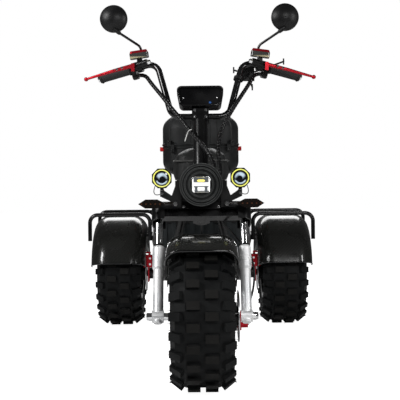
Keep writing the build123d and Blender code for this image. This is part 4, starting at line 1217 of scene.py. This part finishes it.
@dataclass
class Fork(Assembly):
    """The fork with its shroud, mudguard and brake."""

    body: ClassVar[Body] = Body.STEERING
    dressing: ClassVar[Dressing] = {
        Finishes.FRAME_PAINT: "steering_stem fork_crown",
        Finishes.SATIN_BLACK: "fork_shroud",
        Finishes.CHROME: "fork_stanchions front_axle",
        Finishes.CAST_SILVER: "fork_lowers",
        Finishes.FRONT_CARBON: "front_mudguard",
        Finishes.ANODISED: "front_caliper",
        Finishes.HOSE: "brake_hose",
    }
    leg_x: float = 0.137
    lower_top: float = 0.229
    seal: Profile = ((0.0, 0.0168), (0.001, 0.0176), (0.005, 0.0176), (0.007, 0.0162), (0.008, 0.0146),
                     (0.0085, 0.0134))
    band: Profile = ((0.0, 0.0185), (0.0008, 0.0207), (0.0032, 0.0207), (0.004, 0.0185))
    band_z: tuple[float, ...] = (0.168, 0.176, 0.184, 0.192)
    guard: Guard = Guard(0.1085, 0.2495, 0.052, 0.0445, 32.0, 66.0, 0.0042)

    def pieces(self) -> list[Piece]:
        """Adds both legs' dust seals, the left one's rings, the mudguard's rolled edges and the screws.

        Returns:
            The pieces.
        """
        up = Forms.leaning(UP)
        tops = Forms.raked(mirrored((self.leg_x, 0.0, self.lower_top)))
        levels = Forms.raked(Forms.joined(self.leg_x, 0.0, np.array(self.band_z)))
        seals = Forms.turned(self.seal, up, tops, 28)
        bands = Forms.turned(self.band, up, levels, 28)
        edges = self.guard.edges(0.0, FRONT_AXLE_Y)
        return [
            self.add("fork_dust_seals", seals, Finishes.MATTE_BLACK, "shroud_black"),
            self.add("fork_leg_rings", bands, Finishes.CAST_SILVER, "fork_silver"),
            self.add("mudguard_rolled_edges", edges, Finishes.PIANO_BLACK, "carbon_gloss"),
            *self.screws(),
        ]

    def screws(self) -> list[Piece]:
        """Adds the fork's screws and nuts.

        Returns:
            The pieces.
        """
        forward = Forms.leaning(FORWARD)
        shroud = Forms.raked(mirrored((0.056, -0.034, 0.353)))
        plug = Forms.raked(((-0.085, -0.034, 0.355),))
        axle = mirrored((0.1655, FRONT_AXLE_Y, AXLE_Z))
        caliper = placed(((0.1432, 0.063, 0.1955),))
        return self.fasten(
            Fasteners("shroud_screws", Head.SOCKET, 0.0045, 0.003, shroud, forward),
            Fasteners("shroud_blue_plug", Head.DOME, 0.004, 0.009, plug, forward, *self.blue),
            Fasteners("axle_nuts", Head.HEX, 0.0125, 0.008, axle, mirrored(LEFT)),
            Fasteners("front_caliper_bolt", Head.SOCKET, 0.0065, 0.005, caliper, LEFT),
        )


@dataclass
class Lamps(Assembly):
    """Headlight, auxiliary lamps and turn signals."""

    body: ClassVar[Body] = Body.STEERING
    dressing: ClassVar[Dressing] = {
        Finishes.LAMP_BODY: "headlight_housing",
        Finishes.SATIN_BLACK: "aux_lamp_housings",
        Finishes.MATTE_BLACK: "lamp_brackets",
        Finishes.LAMP_FACE: "headlight_lens",
        Finishes.HALO: "aux_lamp_rings",
        Finishes.PROJECTOR: "aux_lamp_lenses",
        Finishes.SIGNAL: "turn_signals",
    }
    face_y: float = behind(0.065)
    face_z: float = 0.634
    ring_y: float = behind(0.064)
    rim_y: float = behind(0.062)
    rings: tuple[float, ...] = (0.0366, 0.0404, 0.0506, 0.0544)
    rims: Span = (0.0606, 0.0674)
    bead_r: float = 0.0009
    bezel: Point = (0.029, 0.0245, 0.0115)
    bezel_r: float = 0.0016
    chip_half: float = 0.0125
    chip_up: float = 0.0125
    chip_r: float = 0.0036
    chip_fall: float = 0.0126
    chip_tip: float = 0.0002
    aux: Point = (0.125, behind(0.082), 0.655)
    lead: Route = ((0.0, 0.04, -0.026), (-0.004, 0.026, -0.045), (-0.03, 0.02, -0.066), (-0.055, 0.03, -0.08),
                   (-0.073, 0.06, -0.085))
    bight: Route = ((0.022, 0.04, -0.022), (0.029, 0.02, -0.04), (0.02, 0.012, -0.056), (0.004, 0.016, -0.05))
    wire_r: float = 0.0013
    sleeve: tuple[int, int] = (12, 30)
    sleeve_r: float = 0.0024

    def pieces(self) -> list[Piece]:
        """Adds the headlight's beads, bezel and emitter, the auxiliary lamps' leads and the nuts.

        Returns:
            The pieces.
        """
        signals = mirrored((0.082, behind(0.076), 0.574))
        brackets = mirrored((0.125, behind(0.092), 0.606))
        return [
            self.add("headlight_ring_beads", self.beads(), Finishes.LAMP_BEAD, "shroud_black", loop=True),
            self.add("headlight_bezel", self.rim(), Finishes.CHROME, "chrome", loop=True),
            self.add("headlight_emitter", self.chip(), Finishes.EMITTER, "lens_clear"),
            *self.wires(1.0, "left"),
            *self.wires(-1.0, "right"),
            *self.fasten(Fasteners("signal_nuts", Head.HEX, 0.0078, 0.007, signals, FORWARD),
                         Fasteners("aux_bracket_nuts", Head.HEX, 0.0055, 0.006, brackets, FORWARD)),
        ]

    def beads(self) -> np.ndarray:
        """Carries a small circle round both edges of each of the housing's rings and its rim.

        Returns:
            Points as (beads, n, 8, 3).
        """
        turn = Forms.turns(72)
        edges = [(reach, self.ring_y) for reach in self.rings] + [(reach, self.rim_y) for reach in self.rims]
        reach, y = np.array(edges).T[:, :, None]
        paths = Forms.joined(reach * np.cos(turn), y, self.face_z + reach * np.sin(turn))
        return np.stack([Forms.tube(path, self.bead_r, 8, closed=True) for path in paths])

    def rim(self) -> np.ndarray:
        """Carries a small circle round the lens's rounded outline.

        Returns:
            Points as (n, 10, 3).
        """
        loop = Forms.round_loop(*self.bezel, 12)
        path = Forms.joined(loop[:, 0], self.face_y, self.face_z + loop[:, 1])
        return Forms.tube(path, self.bezel_r, 10, closed=True)

    def chip(self) -> np.ndarray:
        """Makes the emitter strip along x, thinner towards its ends by the eighth power of the distance.

        Returns:
            Points as (n, 12, 3).
        """
        along = np.linspace(-self.chip_half, self.chip_half, 17)
        swell = self.chip_r * (1 - (along / self.chip_fall) ** 8)[:, None] + self.chip_tip
        return Forms.tube(Forms.joined(along, self.face_y, self.face_z + self.chip_up), swell, 12)

    def wires(self, side: float, label: str) -> list[Piece]:
        """Makes one auxiliary lamp's lead and loop along their splines, with a red sleeve on the lead.

        Args:
            side: 1 for the +x side, -1 for the other.
            label: The side's name.

        Returns:
            The pieces.
        """
        hand = np.array([side, 1.0, 1.0])
        routes = (np.array(self.aux) + np.array(route) for route in (self.lead, self.bight))
        lead, bight = (Forms.spline(hand * route) for route in routes)
        sleeve = Forms.tube(lead[slice(*self.sleeve)], self.sleeve_r, 10)
        return [
            self.add(f"aux_lead_{label}", Forms.tube(lead, self.wire_r, 8), Finishes.HOSE, "loom_black"),
            self.add(f"aux_loop_{label}", Forms.tube(bight, self.wire_r, 8), Finishes.HOSE, "loom_black"),
            self.add(f"aux_sleeve_{label}", sleeve, Finishes.RED_SPRING, "anodised_red"),
        ]


@dataclass
class Cockpit(Assembly):
    """Handlebar, controls, mirrors, dash and looms."""

    body: ClassVar[Body] = Body.STEERING
    dressing: ClassVar[Dressing] = {
        Finishes.BAR_PAINT: "handlebar mirror_stems",
        Finishes.FRAME_PAINT: "bar_clamp",
        Finishes.GRIP: "grips",
        Finishes.ANODISED: "brake_levers reservoir_caps",
        Finishes.SATIN_BLACK: "master_cylinders switch_pods phone_cradle",
        Finishes.RESERVOIR: "reservoirs",
        Finishes.MATTE_BLACK: "mirror_shells",
        Finishes.MIRROR: "mirror_glasses",
        Finishes.DASH: "dash",
        Finishes.CHROME: "bar_ends",
    }
    bar_high: Point = (0.152, 0.4, 1.064)
    bar_end: Point = (0.35, 0.45, 1.015)
    grip_ends: Span = (0.475, 0.985)
    collar_half: float = 0.0035
    collar_r: float = 0.0155
    collar_rise: float = 0.0032
    banjo_share: float = 0.3
    banjo_step: Point = (0.0, -0.026, 0.006)
    banjo_in: float = 0.03
    dash_low: float = 0.134
    dash_wide: float = 0.16
    dash_high: float = 0.073
    dash_front: float = -0.002
    dash_z: float = 0.783
    dash_corner: float = 0.014
    dash_rim_r: float = 0.0022
    loom_r: float = 0.0058
    loom_ridge: float = 0.0014
    loom_pitch: float = 0.0125
    loom_sides: int = 18
    left_loom: Route = (
        (-0.2202, 0.418, 1.021), (-0.194, 0.411, 1.024), (-0.172, 0.38, 0.99), (-0.14, 0.344, 0.95),
        (-0.106, 0.314, 0.905), (-0.07, 0.288, 0.86), (-0.034, 0.259, 0.812), (0.006, 0.24, 0.768),
        (0.036, 0.216, 0.722), (0.046, 0.184, 0.69), (0.042, 0.158, 0.655))
    right_loom: Route = (
        (0.2202, 0.418, 1.021), (0.194, 0.411, 1.024), (0.174, 0.38, 0.986), (0.146, 0.344, 0.944),
        (0.116, 0.312, 0.898), (0.088, 0.286, 0.852), (0.066, 0.268, 0.806), (0.058, 0.24, 0.758),
        (0.06, 0.212, 0.716), (0.064, 0.182, 0.684), (0.06, 0.158, 0.64))
    tie: Route = ((-0.030, 0.2525, 0.8185), (-0.036, 0.2495, 0.817), (-0.042, 0.254, 0.812),
                  (-0.048, 0.256, 0.796), (-0.053, 0.256, 0.779))
    tie_r: float = 0.0014

    def pieces(self) -> list[Piece]:
        """Adds the wrapped looms, grip collars, cable tie, dash rim and screws.

        Returns:
            The pieces.
        """
        tie = Forms.tube(Forms.spline(placed(self.tie)), self.tie_r, 8)
        return [
            self.looms(),
            self.add("grip_collars", self.collars(), Finishes.GRIP, "grip_rubber"),
            self.add("cable_tie", tie, Finishes.TIE, "chrome"),
            self.add("dash_rim", self.rim(), Finishes.PIANO_BLACK, "shroud_black", loop=True),
            *self.screws(),
        ]

    def run(self) -> np.ndarray:
        """Gives the left bar's outer run, from its bend to its end."""
        return np.array(self.bar_end) - np.array(self.bar_high)

    def along(self, share: float) -> np.ndarray:
        """Gives the point at a share of the left bar's outer run."""
        return placed(self.bar_high) + self.run() * share

    def looms(self) -> Piece:
        """Wraps both looms: the radius swells over each turn of the tape and drops at its edge.

        The tape's place is the distance over the pitch less the angle's share of a turn. Its swell is one
        less the sixth power of the distance from the tape's middle.

        Returns:
            The piece.
        """
        both = []
        for route in (self.left_loom, self.right_loom):
            path = Forms.spline(placed(route))
            far = np.linspace(0.0, ROUTE_STEP * len(path), len(path))[:, None]
            turn = np.arange(self.loom_sides)[None, :] / self.loom_sides
            tape = np.mod(far / self.loom_pitch - turn, 1.0)
            swell = self.loom_ridge * (1 - np.abs(2 * tape - 1) ** 6)
            both.append(Forms.tube(path, self.loom_r + swell, self.loom_sides))
        size = min(len(grid) for grid in both)
        picks = [grid[np.linspace(0, len(grid) - 1, size).round().astype(int)] for grid in both]
        wrap = self.add("spiral_looms", np.stack(picks), Finishes.LOOM, "loom_black")
        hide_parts("cable_looms")
        return wrap

    def collars(self) -> np.ndarray:
        """Turns a rounded collar, half an ellipse, at both ends of each grip.

        Returns:
            Points as (4, n, 28, 3).
        """
        turn = np.linspace(0.0, TURN / 2, 9)
        along = self.collar_half * (1 - np.cos(turn))
        collar = np.stack([along, self.collar_r + self.collar_rise * np.sin(turn)], axis=-1)
        places = mirrored(*[self.along(share) for share in self.grip_ends])
        return Forms.turned(collar, mirrored(self.run(), self.run()), places, 28)

    def rim(self) -> np.ndarray:
        """Carries a bead round the dash's front, a rounded rectangle that widens upwards.

        Returns:
            Points as (n, 10, 3).
        """
        loop = Forms.round_loop(self.dash_low / 2, self.dash_high / 2, self.dash_corner, 12)
        share = loop[:, 1] / self.dash_high + 0.5
        across = loop[:, 0] * (1 + (self.dash_wide / self.dash_low - 1) * share)
        path = Forms.raked(Forms.joined(across, self.dash_front, self.dash_z + loop[:, 1]))
        return Forms.tube(path, self.dash_rim_r, 10, closed=True)

    def screws(self) -> list[Piece]:
        """Adds the cockpit's screws and nuts.

        Returns:
            The pieces.
        """
        forward = Forms.leaning(FORWARD)
        clamp = Forms.raked(mirrored((0.019, 0.007, 0.706), (0.019, 0.007, 0.731)))
        dash = Forms.raked(mirrored((0.058, 0.001, 0.776)))
        plug = Forms.raked(((0.034, 0.001, 0.757),))
        inward = -self.run() / np.linalg.norm(self.run())
        banjo = self.along(self.banjo_share) + np.array(self.banjo_step) + self.banjo_in * inward
        mirror = mirrored((0.209, behind(0.43), 1.068))
        lever = mirrored((0.29, behind(0.3674), 1.037), (0.272, behind(0.3652), 1.0425))
        return self.fasten(
            Fasteners("bar_clamp_screws", Head.SOCKET, 0.0048, 0.005, clamp, forward),
            Fasteners("dash_screws", Head.DOME, 0.0026, 0.002, dash, forward, Finishes.CAST_SILVER),
            Fasteners("dash_blue_plug", Head.DOME, 0.0042, 0.003, plug, forward, *self.blue),
            Fasteners("banjo_bolts", Head.HEX, 0.0085, 0.012, mirrored(banjo), mirrored(inward)),
            Fasteners("mirror_nuts", Head.HEX, 0.0088, 0.008, mirror, UP, Finishes.BAR_PAINT, "frame_black"),
            Fasteners("lever_adjusters", Head.SOCKET, 0.0042, 0.004, lever, FORWARD),
        )


@dataclass
class Chassis(Assembly):
    """Frame, deck and battery."""

    dressing: ClassVar[Dressing] = {
        Finishes.FRAME_PAINT: "main_frame case_rack swing_arm axle_housing",
        Finishes.BOX_PLASTIC: "battery_box seat_base",
        Finishes.DECK_MAT: "floorboard",
        Finishes.SLATE: "front_panel",
    }
    deck_z: float = 0.33
    screw_x: float = 0.132
    screw_y: Point = (0.5, 0.653, 0.806)
    trim_r: float = 0.0085
    trim_rise: float = 0.3

    def pieces(self) -> list[Piece]:
        """Adds the deck's screws and a round rubber bead along the front panel's top edge.

        Returns:
            The pieces.
        """
        spots = mirrored(*[(self.screw_x, behind(y), self.deck_z) for y in self.screw_y])
        low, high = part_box("front_panel")
        along = np.linspace(low.x + self.trim_r, high.x - self.trim_r, 41)
        path = Forms.joined(along, (low.y + high.y) / 2, high.z + self.trim_rise * self.trim_r)
        bead = Forms.tube(path, self.trim_r, 16)
        return [
            *self.fasten(Fasteners("deck_screws", Head.DOME, 0.006, 0.0026, spots, UP)),
            self.add("panel_edge_trim", bead, Finishes.MATTE_BLACK, "panel_slate"),
        ]


@dataclass
class RearEnd(Assembly):
    """Fenders, rails, shocks and rear brakes."""

    dressing: ClassVar[Dressing] = {
        Finishes.REAR_CARBON: "rear_fenders",
        Finishes.BAR_PAINT: "fender_rails",
        Finishes.FRAME_PAINT: "fender_brackets",
        Finishes.CHROME: "shock_bodies",
        Finishes.ANODISED: "rear_calipers",
        Finishes.TAIL: "tail_lamp",
    }
    fender: Guard = Guard(0.1155, 0.2585, 0.078, 0.0645, 75.0, 70.0, 0.0034)
    shock_foot: Point = (0.1, 1.3, 0.2548)
    shock_head: Point = (0.1, 1.262, 0.5257)
    coil_r: float = 0.0205
    wire_r: float = 0.0042
    coil_turns: float = 7.0
    coil_from: float = 0.32
    coil_share: float = 0.58

    def pieces(self) -> list[Piece]:
        """Adds the fenders' rolled edges, the shocks' coils and the screws.

        Returns:
            The pieces.
        """
        edges = np.concatenate([self.fender.edges(x, REAR_AXLE_Y) for x in (REAR_X, -REAR_X)])
        caliper = mirrored((0.23, behind(1.222), 0.275), (0.23, behind(1.222), 0.301))
        studs = mirrored((0.208, behind(1.23), 0.403), (0.208, behind(1.37), 0.403))
        return [
            self.add("fender_rolled_edges", edges, Finishes.PIANO_BLACK, "carbon_gloss"),
            self.coils(),
            *self.fasten(Fasteners("rear_caliper_bolts", Head.SOCKET, 0.0052, 0.005, caliper, FORWARD),
                         Fasteners("bracket_bolts", Head.HEX, 0.0075, 0.006, studs, mirrored(RIGHT, RIGHT))),
        ]

    def coils(self) -> Piece:
        """Winds a coil round each shock: a helix about the shock's line with its ends on the spring seats.

        Returns:
            The piece.
        """
        foot = placed(self.shock_foot)
        line = placed(self.shock_head) - foot
        out = np.array(LEFT)
        fore = np.cross(line / np.linalg.norm(line), out)
        share = np.linspace(0.0, 1.0, 240)[:, None]
        turn = TURN * self.coil_turns * share
        rise = foot + line * (self.coil_from + self.coil_share * share)
        helix = rise + self.coil_r * (np.cos(turn) * out + np.sin(turn) * fore)
        grids = [Forms.tube(path, self.wire_r, 10) for path in (helix, helix * FLIP)]
        coil = self.add("shock_coils", np.stack(grids), Finishes.RED_SPRING, "spring_red")
        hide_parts("shock_springs")
        return coil


@dataclass
class TopCase(Assembly):
    """The luggage case and its lid, with ribs, seam beads and hinge screws."""

    dressing: ClassVar[Dressing] = {
        Finishes.CASE: "top_case_base top_case_lid",
        Finishes.REFLECTOR: "case_reflectors",
    }
    half_wide: float = 0.17
    half_long: float = 0.165
    middle_y: float = behind(1.365)
    corner: float = 0.084
    lid_z: float = 0.806
    top_z: float = 0.93
    top_round: float = 0.058
    rib_x: float = 0.058
    rib_w: float = 0.032
    rib_h: float = 0.0042
    rib_over: float = 0.022
    rib_sunk: float = 0.0004
    rib_foot: float = -0.002
    seams: Span = (0.7905, 0.8045)
    seam_sunk: float = 0.001
    seam_r: float = 0.0048

    def pieces(self) -> list[Piece]:
        """Adds the lid's ribs, a bead below and above the seam, and the hinges' screws.

        Returns:
            The pieces.
        """
        made = [self.add("case_lid_ribs", self.ribs(), Finishes.CASE, "case_plastic", Body.LID)]
        halves = (half - self.seam_sunk for half in (self.half_wide, self.half_long))
        loop = Forms.round_loop(*halves, self.corner, 14)
        for label, z, body in zip(("base", "lid"), self.seams, (Body.FRAME, Body.LID)):
            path = Forms.joined(loop[:, 0], loop[:, 1] + self.middle_y, z)
            bead = Forms.tube(path, self.seam_r, 12, closed=True)
            made.append(self.add(f"case_{label}_bead", bead, Finishes.CASE, "case_plastic", body, loop=True))
        for label, x, z, body in (("base", 0.1245, 0.779, Body.FRAME), ("lid", 0.1397, 0.815, Body.LID)):
            spots = mirrored((x, behind(1.185), z))
            screws = Fasteners(f"hinge_{label}_screws", Head.DOME, 0.0045, 0.0028, spots, FORWARD,
                               Finishes.BAR_PAINT, "case_plastic")
            made += self.fasten(screws, body=body)
        return made

    def ribs(self) -> np.ndarray:
        """Makes the lid's raised ribs.

        Each runs up the wall, round the lid's upper edge on a quarter circle and a little way over the top.
        Across, its height is one less the tenth power of the distance from its middle.

        Returns:
            Points as (ribs, n, steps, 3).
        """
        turn = np.linspace(0.0, TURN / 4, 14)
        edge = self.top_round
        inward = np.concatenate([[0.0], edge * (1 - np.cos(turn)), [edge + self.rib_over]])
        height = np.concatenate([[self.lid_z], self.top_z - edge * (1 - np.sin(turn)), [self.top_z]])
        lean = np.concatenate([[0.0], turn, [TURN / 4]])[:, None]
        share = np.linspace(-1.0, 1.0, 13)
        across = np.concatenate([share, share[::-1]]) * self.rib_w / 2
        out = np.concatenate([self.rib_h * (1 - share ** 10) - self.rib_sunk, np.full(13, self.rib_foot)])
        bend = math.sin(TURN / 8)
        side, deep = (half - self.corner * (1 - bend) for half in (self.half_wide, self.half_long))
        signs = [(sign, way) for sign in (1, -1) for way in (1, -1)]
        spots = [(sign * self.rib_x, way * self.half_long, 0.0, way) for sign, way in signs]
        spots += [(sign * side, way * deep, sign * bend, way * bend) for sign, way in signs]
        base_x, base_y, to_x, to_y = np.array(spots).T[:, :, None, None]
        step_in = inward[:, None] - out * np.cos(lean)
        up = height[:, None] + out * np.sin(lean)
        x = base_x - to_x * step_in + to_y * across
        y = self.middle_y + base_y - to_y * step_in - to_x * across
        return Forms.joined(x, y, up)[:, :, ::-1]


@dataclass
class Saddle(Assembly):
    """The padded seat, which stands for its plain CAD solid."""

    half_wide: float = 0.103
    half_long: float = 0.2095
    middle_y: float = behind(0.9615)
    low_z: float = 0.6465
    waist_z: float = 0.7225
    top_z: float = 0.752
    draw_in: float = 0.012
    corner: float = 0.045
    power: float = 5.0
    voxel: float = 0.006
    pressure: float = 4.0
    frames: int = 20
    most_swell: float = 0.022
    easing: int = 24
    welt_out: float = 0.0045
    welt_r: float = 0.0034

    def pieces(self) -> list[Piece]:
        """Adds the cushion, and a cord of welt round its waist.

        Returns:
            The pieces.
        """
        cushion = self.add("seat_padding", self.form(), Finishes.VINYL, "seat_vinyl")
        self.swell(cushion)
        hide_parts("seat_cushion")
        halves = (half + self.welt_out for half in (self.half_wide, self.half_long))
        loop = Forms.round_loop(*halves, self.corner, 14)
        path = Forms.joined(loop[:, 0], loop[:, 1] + self.middle_y, self.waist_z)
        welt = Forms.tube(path, self.welt_r, 10, closed=True)
        return [cushion, self.add("seat_piping", welt, Finishes.PIPING, "seat_vinyl", loop=True)]

    def form(self) -> np.ndarray:
        """Works out the cushion before it is stuffed.

        Each ring is level: a rectangle with round corners. Going up, the skirt's walls are straight to the
        waist, then the ring draws in as a superellipse of the fifth power up to a flat top.

        Returns:
            Points as (rings, steps, 3).
        """
        turn = np.linspace(0.0, TURN / 4, 12)[1:]
        rise = (self.top_z - self.waist_z) * np.sin(turn) ** (2 / self.power)
        height = np.append(np.linspace(self.low_z, self.waist_z, 9), self.waist_z + rise)[:, None]
        inward = np.append(np.zeros(9), self.draw_in * (1 - np.cos(turn) ** (2 / self.power)))[:, None]
        loop = Forms.round_loop(self.half_wide, self.half_long, self.corner, 10)
        share = 1 - inward / np.linalg.norm(loop, axis=1)
        return Forms.joined(loop[:, 0] * share, loop[:, 1] * share + self.middle_y, height)

    def swell(self, cushion: Piece) -> None:
        """Stuffs the cushion with cloth pressure, its foot held, and eases its crown.

        Each point is kept within most_swell of its start.

        Args:
            cushion: The cushion, whose mesh is replaced.
        """
        even = cushion.modifiers.new("even", "REMESH")
        even.mode = "VOXEL"
        even.voxel_size = self.voxel
        self.settle(cushion)
        start = Maker.points(cushion.data)
        foot = start[:, 2] < self.low_z + self.voxel
        crown = start[:, 2] > self.waist_z + self.voxel
        for name, chosen in (("foot", foot), ("crown", crown)):
            cushion.vertex_groups.new(name=name).add(np.flatnonzero(chosen).tolist(), 1.0, "REPLACE")
        cloth = cushion.modifiers.new("padding", "CLOTH")
        cloth.settings.use_pressure = True
        cloth.settings.uniform_pressure_force = self.pressure
        cloth.settings.vertex_group_mass = "foot"
        cloth.settings.effector_weights.gravity = 0.0
        cloth.point_cache.frame_end = self.frames
        for step in range(1, self.frames + 1):
            bpy.context.scene.frame_set(step)
        self.settle(cushion)
        bpy.context.scene.frame_set(1)
        way = Maker.points(cushion.data) - start
        far = np.linalg.norm(way, axis=1, keepdims=True)
        kept = start + way * np.minimum(1.0, self.most_swell / np.maximum(far, TINY))
        cushion.data.vertices.foreach_set("co", kept.ravel())
        cushion.data.shade_smooth()
        ease = cushion.modifiers.new("ease", "SMOOTH")
        ease.iterations = self.easing
        ease.vertex_group = "crown"
        smooth = cushion.modifiers.new("smooth", "SUBSURF")
        smooth.levels = smooth.render_levels = 1

    @staticmethod
    def settle(piece: Piece) -> None:
        """Replaces a piece's mesh by what its modifiers make of it, and clears them.

        Args:
            piece: The piece.
        """
        graph = bpy.context.evaluated_depsgraph_get()
        made = bpy.data.meshes.new_from_object(piece.evaluated_get(graph))
        piece.modifiers.clear()
        piece.data = made


def main() -> None:
    """Builds the scene in order and reports its pieces."""
    logging.basicConfig(level=logging.INFO, format="%(name)s: %(message)s")
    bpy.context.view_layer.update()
    makers = (PhotoCamera(), Studio(), Wheels(), Fork(), Lamps(), Cockpit(), Chassis(), RearEnd(), TopCase(),
              Saddle())
    for maker in makers:
        for name in maker.build():
            LOG.info("%s: %s", type(maker).__name__, name)


if __name__ == "__main__":
    main()
